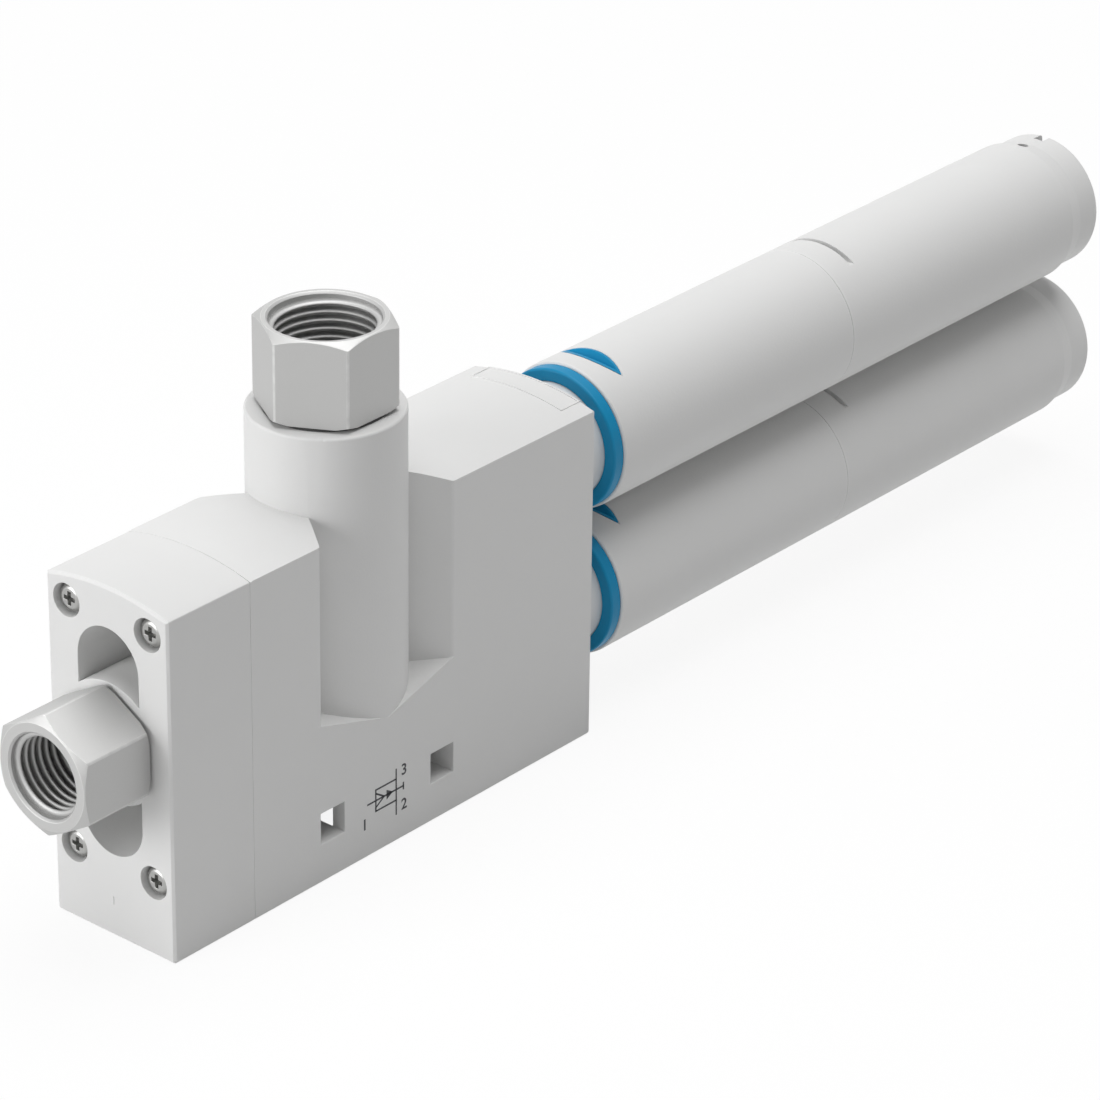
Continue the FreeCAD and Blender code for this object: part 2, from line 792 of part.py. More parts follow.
def make_jet(label, height):
    """Driving nozzle: flange in the gallery floor, seal groove, cone tip in the chamber."""
    start = d.gallery_floor
    flange_end = start + d.jet_flange_length
    groove_start = start + d.jet_groove
    groove_end = groove_start + d.seal_groove_width
    tip = d.jet_tip
    mouth = d.jet_throat + d.play * 2
    throat = tip - d.jet_mouth_length
    corners = [(start, d.jet_entry), (start, d.jet_flange_radius)]
    corners += [(flange_end, d.jet_flange_radius), (flange_end, d.jet_radius)]
    corners += [(groove_start, d.jet_radius), (groove_start, d.seal_seat)]
    corners += [(groove_end, d.seal_seat), (groove_end, d.jet_radius)]
    corners += [(d.chamber_front, d.jet_radius), (tip, mouth + d.jet_tip_wall), (tip, mouth)]
    corners += [(throat, d.jet_throat), (throat - d.jet_throat_length, d.jet_throat)]
    return turned(label + "_jet_nozzle", corners, height)


def seal_ring(name, x, mean, height):
    body = new_body(name)
    sketch = new_sketch(body, "XY", name + "_section")
    circle(sketch, x, mean, d.seal_section)
    revolve(body, sketch)
    place(body, z=height)
    return body


def make_jet_seal(label, height):
    mean = (d.seal_seat + d.jet_radius + d.play) / 2
    middle = d.gallery_floor + d.jet_groove + d.seal_groove_width / 2
    return seal_ring(label + "_jet_seal", middle, mean, height)


def make_receiver(label, height):
    """Receiver nozzle: bell mouth in the chamber, throat, long widening bore and rear flange."""
    start = d.jet_tip + d.receiver_distance
    groove_start = d.chamber_rear + d.receiver_groove
    groove_end = groove_start + d.seal_groove_width
    body_radius, end = d.receiver_radius, d.outlet_seat + d.receiver_flange_length
    corners = [(start, d.receiver_mouth), (start, d.receiver_mouth + d.receiver_lip)]
    corners += [(start + d.receiver_taper, body_radius), (groove_start, body_radius)]
    corners += [(groove_start, receiver_seat()), (groove_end, receiver_seat())]
    corners += [(groove_end, body_radius), (d.outlet_seat, body_radius)]
    corners += [(d.outlet_seat, d.receiver_flange), (end, d.receiver_flange), (end, d.receiver_mouth)]
    corners += [(start + d.receiver_throat_end, d.receiver_throat)]
    corners += [(start + d.receiver_throat_start, d.receiver_throat)]
    return turned(label + "_receiver_nozzle", corners, height)


def receiver_seat():
    return d.seal_seat + d.receiver_radius - d.jet_radius


def make_receiver_seal(label, height):
    mean = (receiver_seat() + d.receiver_radius + d.play) / 2
    middle = d.chamber_rear + d.receiver_groove + d.seal_groove_width / 2
    return seal_ring(label + "_receiver_seal", middle, mean, height)


def latch_valley(above):
    """The latch's valley in side view, or a line above it: its front end, lowest point, rear end."""
    share = (d.latch_depth - above) / d.latch_depth
    lowest = d.silencer_start + d.latch_distance
    top = d.silencer_radius
    front = (lowest - share * d.latch_fall, top)
    rear = (lowest + share * d.latch_rise, top)
    return [front, (lowest, top - d.latch_depth + above), rear]


def cut_valley(body, name, above):
    """Cuts away all that stands over the latch's valley."""
    cut = new_sketch(body, "XZ", name)
    front, lowest, rear = latch_valley(above)
    over = d.silencer_radius + PAST
    outline(cut, [front, lowest, rear, (rear[0], over), (front[0], over)])
    pocket_both(body, cut, d.silencer_radius * 2)


def make_locking_ring(label, height):
    """Blue ring: collar before the silencer, sleeve inside it, saddle that shows in its window."""
    inner = d.outlet_radius + d.play
    start = d.collar_start
    face = start + d.collar_length
    end = face + d.sleeve_length
    sleeve = d.socket_radius - d.play
    edge = d.rim_rounding
    corners = [(start, inner), (start, d.collar_radius - edge)]
    corners += [(start + edge, d.collar_radius, edge, -1), (face, d.collar_radius)]
    corners += [(face, sleeve), (end, sleeve), (end, inner)]
    name = label + "_locking_ring"
    body = turned(name, corners, height)
    saddle = new_sketch(body, "XZ", name + "_saddle")
    under = latch_valley(d.latch_gap)
    over = latch_valley(d.latch_gap + d.latch_skin)
    outline(saddle, under + over[::-1])
    pad_both(body, saddle, d.silencer_radius)
    trim = new_sketch(body, "XY", name + "_trim")
    limit = d.silencer_radius - d.play / 2
    wide = d.silencer_radius * 2
    outline(trim, [(face, limit), (end, limit), (end, wide), (face, wide)])
    groove(body, trim)
    cut_valley(body, name + "_valley", d.latch_gap + d.latch_skin)
    return body


def make_silencer(label, height):
    """First silencer section: socket, window for the latch, plain tube and neck."""
    start, end = d.silencer_start, d.extension_start - d.play
    neck_end = end + d.neck_length
    edge = d.rim_rounding
    corners = [(start, d.socket_radius), (start, d.silencer_radius - edge)]
    corners += [(start + edge, d.silencer_radius, edge, -1)]
    corners += [(end, d.silencer_radius), (end, d.neck_radius)]
    narrow = end - d.neck_bore_start
    corners += [(neck_end, d.neck_radius), (neck_end, d.neck_bore), (narrow, d.neck_bore)]
    corners += [(narrow - d.bore_step, d.silencer_bore)]
    corners += socket_corners(start)
    name = label + "_silencer"
    body = turned(name, corners, height)
    cut_valley(body, name + "_window", as_size(0.0))
    return body


def socket_corners(start):
    """The step between a silencer's bore and the socket at its front."""
    foot = start + d.socket_depth
    return [(foot + d.socket_step, d.silencer_bore), (foot, d.socket_radius)]


def make_extension(label, height):
    """Second silencer section: slit over the joint, tapered step and open neck at the end."""
    start, step, end = d.extension_start, d.taper_start, d.extension_end
    edge, end_edge = d.joint_rounding, d.end_rounding
    corners = [(start, d.socket_radius), (start, d.silencer_radius - edge)]
    corners += [(start + edge, d.silencer_radius, edge, -1)]
    corners += [(step, d.silencer_radius), (step + d.neck_taper, d.end_neck_radius)]
    radius = d.end_neck_radius
    corners += [(end - end_edge, radius), (end, radius - end_edge, end_edge, -1)]
    lip, lip_foot = d.neck_bore - d.end_lip, end - d.end_lip_length
    corners += [(end, lip), (lip_foot, lip), (lip_foot, d.neck_bore)]
    narrow = step - d.bore_step * 2
    corners += [(narrow, d.neck_bore), (narrow - d.bore_step, d.silencer_bore)]
    corners += socket_corners(start)
    name = label + "_extension"
    body = turned(name, corners, height)
    slit = new_sketch(body, "XZ", name + "_slit")
    left = start + d.slit_distance
    right = left + d.slit_width
    low, above = d.silencer_radius - d.slit_depth, d.silencer_radius + PAST
    outline(slit, [(left, low), (right, low), (right, above), (left, above)])
    pocket_both(body, slit, d.silencer_radius * 2)
    marks = new_sketch(body, "XY", name + "_end_marks", out=d.silencer_radius + PAST)
    notch = d.end_notch_width / 2
    left, right = end - d.end_notch_length, end + PAST
    circle(marks, step + d.end_hole_distance, 0, d.end_hole)
    outline(marks, [(left, -notch), (right, -notch), (right, notch), (left, notch)])
    pocket(body, marks, d.silencer_radius / 3)
    return body


def make_foam(label, height):
    """Absorber sleeves inside the two silencer sections."""
    start = d.silencer_start + d.socket_depth + PAST
    first = turned(label + "_silencer_foam", foam_section(start, d.foam_length), height)
    start = d.extension_start + d.socket_depth + PAST
    second = turned(label + "_extension_foam", foam_section(start, d.extension_foam_length), height)
    return [first, second]


def foam_section(start, length):
    outer = d.silencer_bore - d.play
    return [(start, d.foam_bore), (start + length, d.foam_bore), (start + length, outer), (start, outer)]


def make_all():
    parts = [make_housing(), make_cover(), make_gasket(), make_screws()]
    parts += make_fittings()
    parts += make_port_seals()
    for label, height in (("upper", d.upper_height), ("lower", d.lower_height)):
        parts += [make_jet(label, height), make_jet_seal(label, height)]
        parts += [make_receiver(label, height), make_receiver_seal(label, height)]
        parts += [make_locking_ring(label, height), make_silencer(label, height)]
        parts += [make_extension(label, height)]
        parts += make_foam(label, height)
    return parts


def check_objects():
    doc.recompute()
    for item in doc.Objects:
        if "Invalid" in item.State or "Error" in item.State:
            raise RuntimeError("%s did not build: %s" % (item.Label, item.State))


def write_parts(parts):
    os.makedirs("parts", exist_ok=True)
    for part in parts:
        shape = part.Shape
        if shape.isNull() or not shape.isValid() or not shape.Solids:
            raise RuntimeError("%s has no valid solid" % part.Label)
        shape.exportStep("parts/%s.step" % part.Label)
        print(part.Label, len(shape.Solids), round(shape.Volume, 1), shape.BoundBox)


all_parts = make_all()
check_objects()
write_parts(all_parts)
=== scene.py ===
import json
import math

import bmesh
import bpy
from mathutils import Euler, Matrix, Vector


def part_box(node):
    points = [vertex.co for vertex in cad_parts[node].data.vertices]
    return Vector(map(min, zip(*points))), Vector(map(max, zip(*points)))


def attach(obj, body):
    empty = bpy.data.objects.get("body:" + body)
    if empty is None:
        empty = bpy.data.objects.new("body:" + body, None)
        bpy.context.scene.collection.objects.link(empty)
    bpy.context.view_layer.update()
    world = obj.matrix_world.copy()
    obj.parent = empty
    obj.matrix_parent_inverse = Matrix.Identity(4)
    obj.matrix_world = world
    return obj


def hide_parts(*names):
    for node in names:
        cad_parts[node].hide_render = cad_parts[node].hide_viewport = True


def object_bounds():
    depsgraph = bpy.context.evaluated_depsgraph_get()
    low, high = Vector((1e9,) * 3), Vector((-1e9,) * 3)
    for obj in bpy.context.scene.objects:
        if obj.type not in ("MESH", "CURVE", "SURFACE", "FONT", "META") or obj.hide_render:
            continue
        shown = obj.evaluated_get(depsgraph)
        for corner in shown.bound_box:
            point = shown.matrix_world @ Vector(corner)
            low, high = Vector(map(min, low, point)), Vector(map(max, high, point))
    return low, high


bl_info = {
    "name": "Vacuum Ejector Dressing",
    "version": (1, 0, 0),
    "blender": (4, 5, 0),
    "location": "3D View > Sidebar > Ejector",
    "description": "Finishes the pieces of an inline vacuum ejector and sets it in a pale studio",
    "category": "Object",
}

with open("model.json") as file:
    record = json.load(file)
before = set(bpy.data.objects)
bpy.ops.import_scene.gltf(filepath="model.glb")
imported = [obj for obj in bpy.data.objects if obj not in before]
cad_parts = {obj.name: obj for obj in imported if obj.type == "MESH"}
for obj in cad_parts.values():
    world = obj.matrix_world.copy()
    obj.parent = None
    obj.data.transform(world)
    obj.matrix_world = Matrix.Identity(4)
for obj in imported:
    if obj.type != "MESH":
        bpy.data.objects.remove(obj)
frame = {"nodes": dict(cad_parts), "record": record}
CAD_LOW, CAD_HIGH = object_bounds()
NODES = frame["nodes"]

MM = 0.001
LINES = ("upper", "lower")
# The face attribute that marks rounded edges for the materials
EDGE_MARK = "rounded_edge"

# Places on the object, read from the solids
COVER_LOW, COVER_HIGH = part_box("front_cover")
HOUSING_LOW, HOUSING_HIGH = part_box("main_housing")
PRESSURE_LOW, PRESSURE_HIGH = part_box("pressure_port_fitting")
VACUUM_LOW, VACUUM_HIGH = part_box("vacuum_port_fitting")
PORT_HEIGHT = (PRESSURE_LOW.z + PRESSURE_HIGH.z) / 2
TOWER_X = (VACUUM_LOW.x + VACUUM_HIGH.x) / 2
NEAR_SIDE = HOUSING_LOW.y
# The block's length and crown, which no box gives
BLOCK_LENGTH = 92.2 * MM
BLOCK_REAR = COVER_LOW.x + BLOCK_LENGTH
SIDE_TOP = 55.6 * MM
CROWN_RISE = 1.6 * MM


class EjectorSizes(bpy.types.PropertyGroup):
    """Sizes of what is finer than the solids"""

    block_round: bpy.props.FloatProperty(
        name="Block edge rounding",
        description="Width of the rounding on the long edges beside the crown",
        default=0.3 * MM,
        unit="LENGTH",
        precision=5,
    )
    end_round: bpy.props.FloatProperty(
        name="End edge rounding",
        description="Width of the rounding on the chamfers round the block's two ends",
        default=0.08 * MM,
        unit="LENGTH",
        precision=5,
    )
    joint_round: bpy.props.FloatProperty(
        name="Joint edge rounding",
        description="Width of the rounding where cover and housing meet",
        default=0.15 * MM,
        unit="LENGTH",
        precision=5,
    )
    opening_round: bpy.props.FloatProperty(
        name="Opening edge rounding",
        description="Width of the rounding on the edges of windows, holes and recesses",
        default=0.15 * MM,
        unit="LENGTH",
        precision=5,
    )
    # Reach of the band of painted highlight on each side of a silencer or ring rim
    rim_highlight: bpy.props.FloatProperty(
        name="Rim wear",
        description="Width of the rubbed band at the rims of the silencers",
        default=0.4 * MM,
        unit="LENGTH",
        precision=5,
    )
    metal_round: bpy.props.FloatProperty(
        name="Hexagon edge rounding",
        description="Width of the rounding on the six long edges of a hexagon",
        default=0.3 * MM,
        unit="LENGTH",
        precision=5,
    )
    chamfer_round: bpy.props.FloatProperty(
        name="Chamfer edge rounding",
        description="Width of the rounding on a hexagon's chamfers and mouth",
        default=0.06 * MM,
        unit="LENGTH",
        precision=5,
    )
    screw_round: bpy.props.FloatProperty(
        name="Screw edge rounding",
        description="Width of the rounding on the screws' heads and recesses",
        default=0.06 * MM,
        unit="LENGTH",
        precision=5,
    )
    thread_pitch: bpy.props.FloatProperty(
        name="Thread pitch",
        description="Distance between two turns of the pipe threads",
        default=1.337 * MM,
        unit="LENGTH",
        precision=5,
    )
    thread_depth: bpy.props.FloatProperty(
        name="Thread depth",
        description="Height of a thread's ridge above the wall of its bore",
        default=0.856 * MM,
        unit="LENGTH",
        precision=5,
    )
    print_line: bpy.props.FloatProperty(
        name="Printed line",
        description="Width of the lines of the printed symbol",
        default=0.28 * MM,
        unit="LENGTH",
        precision=5,
    )
    print_lift: bpy.props.FloatProperty(
        name="Print thickness",
        description="Thickness of the ink on the face",
        default=0.02 * MM,
        unit="LENGTH",
        precision=5,
    )
    figure_weight: bpy.props.FloatProperty(
        name="Figure weight",
        description="Width by which the outlines of the printed figures are thickened",
        default=0.04 * MM,
        unit="LENGTH",
        precision=5,
    )
    frame_line: bpy.props.FloatProperty(
        name="Label frame line",
        description="Width of the raised line round the empty label field on the crown",
        default=0.3 * MM,
        unit="LENGTH",
        precision=5,
    )
    frame_lift: bpy.props.FloatProperty(
        name="Label frame height",
        description="Height of the raised line above the crown",
        default=0.12 * MM,
        unit="LENGTH",
        precision=5,
    )


def colour_property(name, description, value):
    return bpy.props.FloatVectorProperty(
        name=name,
        description=description,
        subtype="COLOR",
        size=3,
        min=0.0,
        max=1.0,
        default=value,
    )


class EjectorColours(bpy.types.PropertyGroup):
    """Colours of the finishes, in linear light"""

    housing: colour_property("Housing", "Light grey of the mouldings", (0.78, 0.78, 0.775))
    silencer: colour_property("Silencer", "Light grey of the silencer tubes", (0.77, 0.77, 0.765))
    ring: colour_property("Locking ring", "Blue of the locking rings", (0.0, 0.255, 0.49))
    metal: colour_property("Fittings", "Satin metal of the port fittings", (0.50, 0.50, 0.495))
    screw: colour_property("Screws", "Plated steel of the screws", (0.40, 0.40, 0.39))
    brass: colour_property("Driving nozzles", "Brass of the driving nozzles", (0.72, 0.52, 0.24))
    receiver: colour_property(
        "Receiver nozzles", "Polymer of the receiver nozzles", (0.70, 0.70, 0.67))
    rubber: colour_property("Seals", "Black rubber of the seals", (0.018, 0.018, 0.018))
    foam: colour_property("Absorbers", "Off-white of the absorber sleeves", (0.74, 0.74, 0.70))
    ink: colour_property("Ink", "Dark grey of the printed symbol", (0.035, 0.035, 0.038))
    floor: colour_property("Floor", "Pale floor under the ejector", (1.0, 1.0, 1.0))


class EjectorStudio(bpy.types.PropertyGroup):
    """Light and camera of the studio"""

    sky: bpy.props.FloatProperty(
        name="Soft light",
        description="Strength of the even light from all around",
        default=0.17,
        min=0.0,
    )
    overhead: bpy.props.FloatProperty(
        name="Overhead lamp",
        description="Power of the large lamp above the ejector, in watts",
        default=15.2,
        min=0.0,
    )
    front: bpy.props.FloatProperty(
        name="Front lamp",
        description="Power of the large lamp before the pressure port, in watts",
        default=9.5,
        min=0.0,
    )
    lens: bpy.props.FloatProperty(
        name="Lens",
        description="Focal length of the camera on a 36 mm sensor, in millimetres",
        default=171.3,
        min=20.0,
    )


# Node helpers

def new_node(tree, kind, values=None, **settings):
    """A node with its settings, and its unlinked sockets set by name or number."""
    node = tree.nodes.new(kind)
    for name, value in settings.items():
        setattr(node, name, value)
    for socket, value in (values or {}).items():
        node.inputs[socket].default_value = value
    return node


def join(tree, *ends):
    """Links (node, output) pairs to (node, input) pairs, given one after the other."""
    for source, target in zip(ends[0::2], ends[1::2]):
        tree.links.new(source[0].outputs[source[1]], target[0].inputs[target[1]])


def new_group(name, inputs, outputs):
    """A shader node group with named sockets, and its input and output nodes."""
    tree = bpy.data.node_groups.new(name, "ShaderNodeTree")
    for label, kind, value in inputs:
        socket = tree.interface.new_socket(label, in_out="INPUT", socket_type=kind)
        if value is not None:
            socket.default_value = value
    for label, kind in outputs:
        tree.interface.new_socket(label, in_out="OUTPUT", socket_type=kind)
    return tree, tree.nodes.new("NodeGroupInput"), tree.nodes.new("NodeGroupOutput")


def moulded_grain_group():
    """Fine spark-eroded grain of a moulding, with slow drifts of tone and gloss."""
    tree, given, result = new_group(
        "moulded_grain",
        [("Colour", "NodeSocketColor", None), ("Grain per mm", "NodeSocketFloat", 3.0),
         ("Tone drift", "NodeSocketFloat", 0.03), ("Roughness", "NodeSocketFloat", 0.5)],
        [("Colour", "NodeSocketColor"), ("Roughness", "NodeSocketFloat"),
         ("Height", "NodeSocketFloat")],
    )
    place = new_node(tree, "ShaderNodeTexCoord")
    scale = new_node(tree, "ShaderNodeVectorMath", {1: (1000, 1000, 1000)}, operation="MULTIPLY")
    grain = new_node(tree, "ShaderNodeTexNoise", {"Detail": 3.0, "Roughness": 0.6})
    cells = new_node(tree, "ShaderNodeTexVoronoi", feature="SMOOTH_F1")
    height = new_node(tree, "ShaderNodeMath", operation="ADD")
    half = new_node(tree, "ShaderNodeMath", {1: 0.5}, operation="MULTIPLY")
    drift = new_node(tree, "ShaderNodeTexNoise", {"Scale": 0.06, "Detail": 3.0, "Roughness": 0.55})
    centred = new_node(tree, "ShaderNodeMath", {1: 0.5}, operation="SUBTRACT")
    tone = new_node(tree, "ShaderNodeMath", operation="MULTIPLY")
    lift = new_node(tree, "ShaderNodeMath", {1: 1.0}, operation="ADD")
    colour = new_node(tree, "ShaderNodeVectorMath", operation="SCALE")
    gloss = new_node(tree, "ShaderNodeTexNoise", {"Scale": 0.25, "Detail": 4.0})
    gloss_range = new_node(tree, "ShaderNodeMapRange", {"To Min": -0.06, "To Max": 0.06})
    rough = new_node(tree, "ShaderNodeMath", operation="ADD", use_clamp=True)
    join(
        tree,
        (place, "Object"), (scale, 0),
        (scale, 0), (grain, "Vector"),
        (scale, 0), (cells, "Vector"),
        (given, "Grain per mm"), (grain, "Scale"),
        (given, "Grain per mm"), (cells, "Scale"),
        (grain, 0), (height, 0),
        (cells, "Distance"), (half, 0),
        (half, 0), (height, 1),
        (height, 0), (result, "Height"),
        (scale, 0), (drift, "Vector"),
        (drift, 0), (centred, 0),
        (centred, 0), (tone, 0),
        (given, "Tone drift"), (tone, 1),
        (tone, 0), (lift, 0),
        (given, "Colour"), (colour, 0),
        (lift, 0), (colour, "Scale"),
        (colour, 0), (result, "Colour"),
        (scale, 0), (gloss, "Vector"),
        (gloss, 0), (gloss_range, "Value"),
        (gloss_range, 0), (rough, 0),
        (given, "Roughness"), (rough, 1),
        (rough, 0), (result, "Roughness"),
    )
    return tree


def edge_group():
    """Mask of the rounded edges, broken in patches, where plastic and metal are painted lighter as
    a highlight.
    """
    tree, given, result = new_group(
        "worn_edges",
        [("Strength", "NodeSocketFloat", 0.5)],
        [("Mask", "NodeSocketFloat")],
    )
    rounded = new_node(tree, "ShaderNodeAttribute", attribute_name=EDGE_MARK)
    place = new_node(tree, "ShaderNodeTexCoord")
    patches = new_node(tree, "ShaderNodeTexNoise", {"Scale": 700.0, "Detail": 3.0})
    broken = new_node(
        tree, "ShaderNodeMapRange", {"From Min": 0.3, "From Max": 0.65, "To Min": 0.3})
    both = new_node(tree, "ShaderNodeMath", operation="MULTIPLY")
    mask = new_node(tree, "ShaderNodeMath", operation="MULTIPLY", use_clamp=True)
    join(
        tree,
        (place, "Object"), (patches, "Vector"),
        (patches, 0), (broken, "Value"),
        (rounded, "Fac"), (both, 0),
        (broken, 0), (both, 1),
        (both, 0), (mask, 0),
        (given, "Strength"), (mask, 1),
        (mask, 0), (result, "Mask"),
    )
    return tree


def scuff_group():
    """Mask of fine rubbed marks that run along the piece, denser in patches."""
    tree, given, result = new_group(
        "rubbed_marks",
        [("Amount", "NodeSocketFloat", 0.5)],
        [("Mask", "NodeSocketFloat")],
    )
    place = new_node(tree, "ShaderNodeTexCoord")
    turn = new_node(
        tree, "ShaderNodeMapping", {"Rotation": (0.2, 0.35, 0.15), "Scale": (160, 2600, 2600)})
    lines = new_node(tree, "ShaderNodeTexNoise", {"Scale": 1.0, "Detail": 2.0, "Distortion": 0.4})
    thin = new_node(tree, "ShaderNodeMapRange", {"From Min": 0.64, "From Max": 0.72})
    patches = new_node(tree, "ShaderNodeTexNoise", {"Scale": 60.0, "Detail": 2.0})
    where = new_node(tree, "ShaderNodeMapRange", {"From Min": 0.45, "From Max": 0.65})
    both = new_node(tree, "ShaderNodeMath", operation="MULTIPLY")
    mask = new_node(tree, "ShaderNodeMath", operation="MULTIPLY", use_clamp=True)
    join(
        tree,
        (place, "Object"), (turn, "Vector"),
        (turn, 0), (lines, "Vector"),
        (lines, 0), (thin, "Value"),
        (place, "Object"), (patches, "Vector"),
        (patches, 0), (where, "Value"),
        (thin, 0), (both, 0),
        (where, 0), (both, 1),
        (both, 0), (mask, 0),
        (given, "Amount"), (mask, 1),
        (mask, 0), (result, "Mask"),
    )
    return tree


def turned_group():
    """Tool marks of a turned piece whose axis is Z of the given place: rings, lines, grain."""
    tree, given, result = new_group(
        "turned_marks",
        [("Place", "NodeSocketVector", None), ("Rings per mm", "NodeSocketFloat", 4.0)],
        [("Rings", "NodeSocketFloat"), ("Drawn", "NodeSocketFloat"), ("Grain", "NodeSocketFloat")],
    )
    flat = new_node(tree, "ShaderNodeVectorMath", {1: (1000, 1000, 0)}, operation="MULTIPLY")
    radius = new_node(tree, "ShaderNodeVectorMath", operation="LENGTH")
    rate = new_node(tree, "ShaderNodeMath", operation="MULTIPLY")
    rings = new_node(
        tree, "ShaderNodeTexNoise", {"Scale": 1.0, "Detail": 2.0}, noise_dimensions="1D")
    long = new_node(tree, "ShaderNodeVectorMath", {1: (6000, 6000, 250)}, operation="MULTIPLY")
    drawn = new_node(tree, "ShaderNodeTexNoise", {"Scale": 1.0, "Detail": 2.0})
    fine = new_node(tree, "ShaderNodeVectorMath", {1: (7000, 7000, 7000)}, operation="MULTIPLY")
    grain = new_node(tree, "ShaderNodeTexNoise", {"Scale": 1.0, "Detail": 3.0})
    join(
        tree,
        (given, "Place"), (flat, 0),
        (flat, 0), (radius, 0),
        (radius, "Value"), (rate, 0),
        (given, "Rings per mm"), (rate, 1),
        (rate, 0), (rings, "W"),
        (rings, 0), (result, "Rings"),
        (given, "Place"), (long, 0),
        (long, 0), (drawn, "Vector"),
        (drawn, 0), (result, "Drawn"),
        (given, "Place"), (fine, 0),
        (fine, 0), (grain, "Vector"),
        (grain, 0), (result, "Grain"),
    )
    return tree


def shared_group(name):
    """A node group by name, built the first time that a material asks for it."""
    builders = {
        "moulded_grain": moulded_grain_group,
        "worn_edges": edge_group,
        "rubbed_marks": scuff_group,
        "turned_marks": turned_group,
    }
    return bpy.data.node_groups.get(name) or builders[name]()


def placed_group(tree, name, values=None):
    """A shared node group placed in a material, with the material's own values."""
    return new_node(tree, "ShaderNodeGroup", values, node_tree=shared_group(name))


def toned(colour, share=1.0, lift=0.0):
    """A colour scaled and lifted, never above one, with its alpha."""
    return (*[min(1.0, part * share + lift) for part in colour], 1.0)


def new_material(name, values):
    """A material with a Principled shader whose constant sockets are set."""
    material = bpy.data.materials.new(name)
    material.use_nodes = True
    tree = material.node_tree
    shader = tree.nodes["Principled BSDF"]
    for socket, value in values.items():
        shader.inputs[socket].default_value = value
    return material, tree, shader


def rim_bands(tree, places, width):
    """A mask that is one beside each of some places along X."""
    place = new_node(tree, "ShaderNodeTexCoord")
    along = new_node(tree, "ShaderNodeSeparateXYZ")
    join(tree, (place, "Object"), (along, 0))
    bands = None
    for x in places:
        band = new_node(tree, "ShaderNodeMath", {1: x, 2: width}, operation="COMPARE")
        join(tree, (along, "X"), (band, 0))
        if bands:
            both = new_node(tree, "ShaderNodeMath", operation="MAXIMUM")
            join(tree, (bands, 0), (both, 0), (band, 0), (both, 1))
            band = both
        bands = band
    return bands


def moulded_plastic(name, colour, roughness, grain_per_mm=3.0, grain_height=0.02, edge_light=0.35,
                    specular=0.45, rims=()):
    """Moulded plastic: fine grain, slow drift of tone, rubbed marks, and a painted highlight on
    its edges and rims.
    """
    material, tree, shader = new_material(name, {"IOR": 1.49, "Specular IOR Level": specular})
    grain = placed_group(tree, "moulded_grain", {
        "Colour": toned(colour), "Grain per mm": grain_per_mm, "Roughness": roughness})
    edges = placed_group(tree, "worn_edges", {"Strength": edge_light})
    marks = placed_group(tree, "rubbed_marks", {"Amount": 0.5})
    # Rounded edges and rims are painted lighter, as a highlight
    light = new_node(tree, "ShaderNodeMix", {"B": toned(colour, 1.08, 0.02)}, data_type="RGBA")
    rubbed = new_node(tree, "ShaderNodeMath", {1: -0.12}, operation="MULTIPLY")
    gloss = new_node(tree, "ShaderNodeMath", operation="ADD", use_clamp=True)
    bump = new_node(tree, "ShaderNodeBump", {"Strength": 0.6, "Distance": grain_height * MM})
    highlit = (edges, "Mask")
    if rims:
        width = bpy.context.scene.ejector_sizes.rim_highlight
        soft = new_node(tree, "ShaderNodeMath", {1: 0.3}, operation="MULTIPLY")
        widest = new_node(tree, "ShaderNodeMath", operation="MAXIMUM")
        join(
            tree,
            (rim_bands(tree, rims, width), 0), (soft, 0),
            (soft, 0), (widest, 0),
            highlit, (widest, 1),
        )
        highlit = (widest, 0)
    join(
        tree,
        highlit, (light, "Factor"),
        (grain, "Colour"), (light, 6),
        (light, 2), (shader, "Base Color"),
        (marks, "Mask"), (rubbed, 0),
        (grain, "Roughness"), (gloss, 0),
        (rubbed, 0), (gloss, 1),
        (gloss, 0), (shader, "Roughness"),
        (grain, "Height"), (bump, "Height"),
        (bump, 0), (shader, "Normal"),
    )
    return material


def turned_metal(name, colour, roughness, centre, turn, metallic=0.65):
    """Satin turned metal with rings on its ends, drawn flats and a painted highlight on its edges.
    """
    material, tree, shader = new_material(name, {"Metallic": metallic})
    place = new_node(tree, "ShaderNodeTexCoord")
    own = new_node(
        tree, "ShaderNodeMapping", {"Location": centre, "Rotation": turn}, vector_type="TEXTURE")
    marks = placed_group(tree, "turned_marks")
    edges = placed_group(tree, "worn_edges", {"Strength": 0.6})
    # Rounded edges are painted brighter, as a highlight
    light = new_node(
        tree, "ShaderNodeMix", {"A": toned(colour), "B": toned(colour, 1.35)}, data_type="RGBA")
    level = new_node(
        tree, "ShaderNodeMapRange", {"To Min": roughness - 0.07, "To Max": roughness + 0.07})
    sum_one = new_node(tree, "ShaderNodeMath", operation="ADD")
    sum_all = new_node(tree, "ShaderNodeMath", operation="ADD")
    bump = new_node(tree, "ShaderNodeBump", {"Strength": 0.35, "Distance": 0.012 * MM})
    join(
        tree,
        (place, "Object"), (own, "Vector"),
        (own, 0), (marks, "Place"),
        (edges, "Mask"), (light, "Factor"),
        (light, 2), (shader, "Base Color"),
        (marks, "Grain"), (level, "Value"),
        (level, 0), (shader, "Roughness"),
        (marks, "Rings"), (sum_one, 0),
        (marks, "Drawn"), (sum_one, 1),
        (sum_one, 0), (sum_all, 0),
        (marks, "Grain"), (sum_all, 1),
        (sum_all, 0), (bump, "Height"),
        (bump, 0), (shader, "Normal"),
    )
    return material


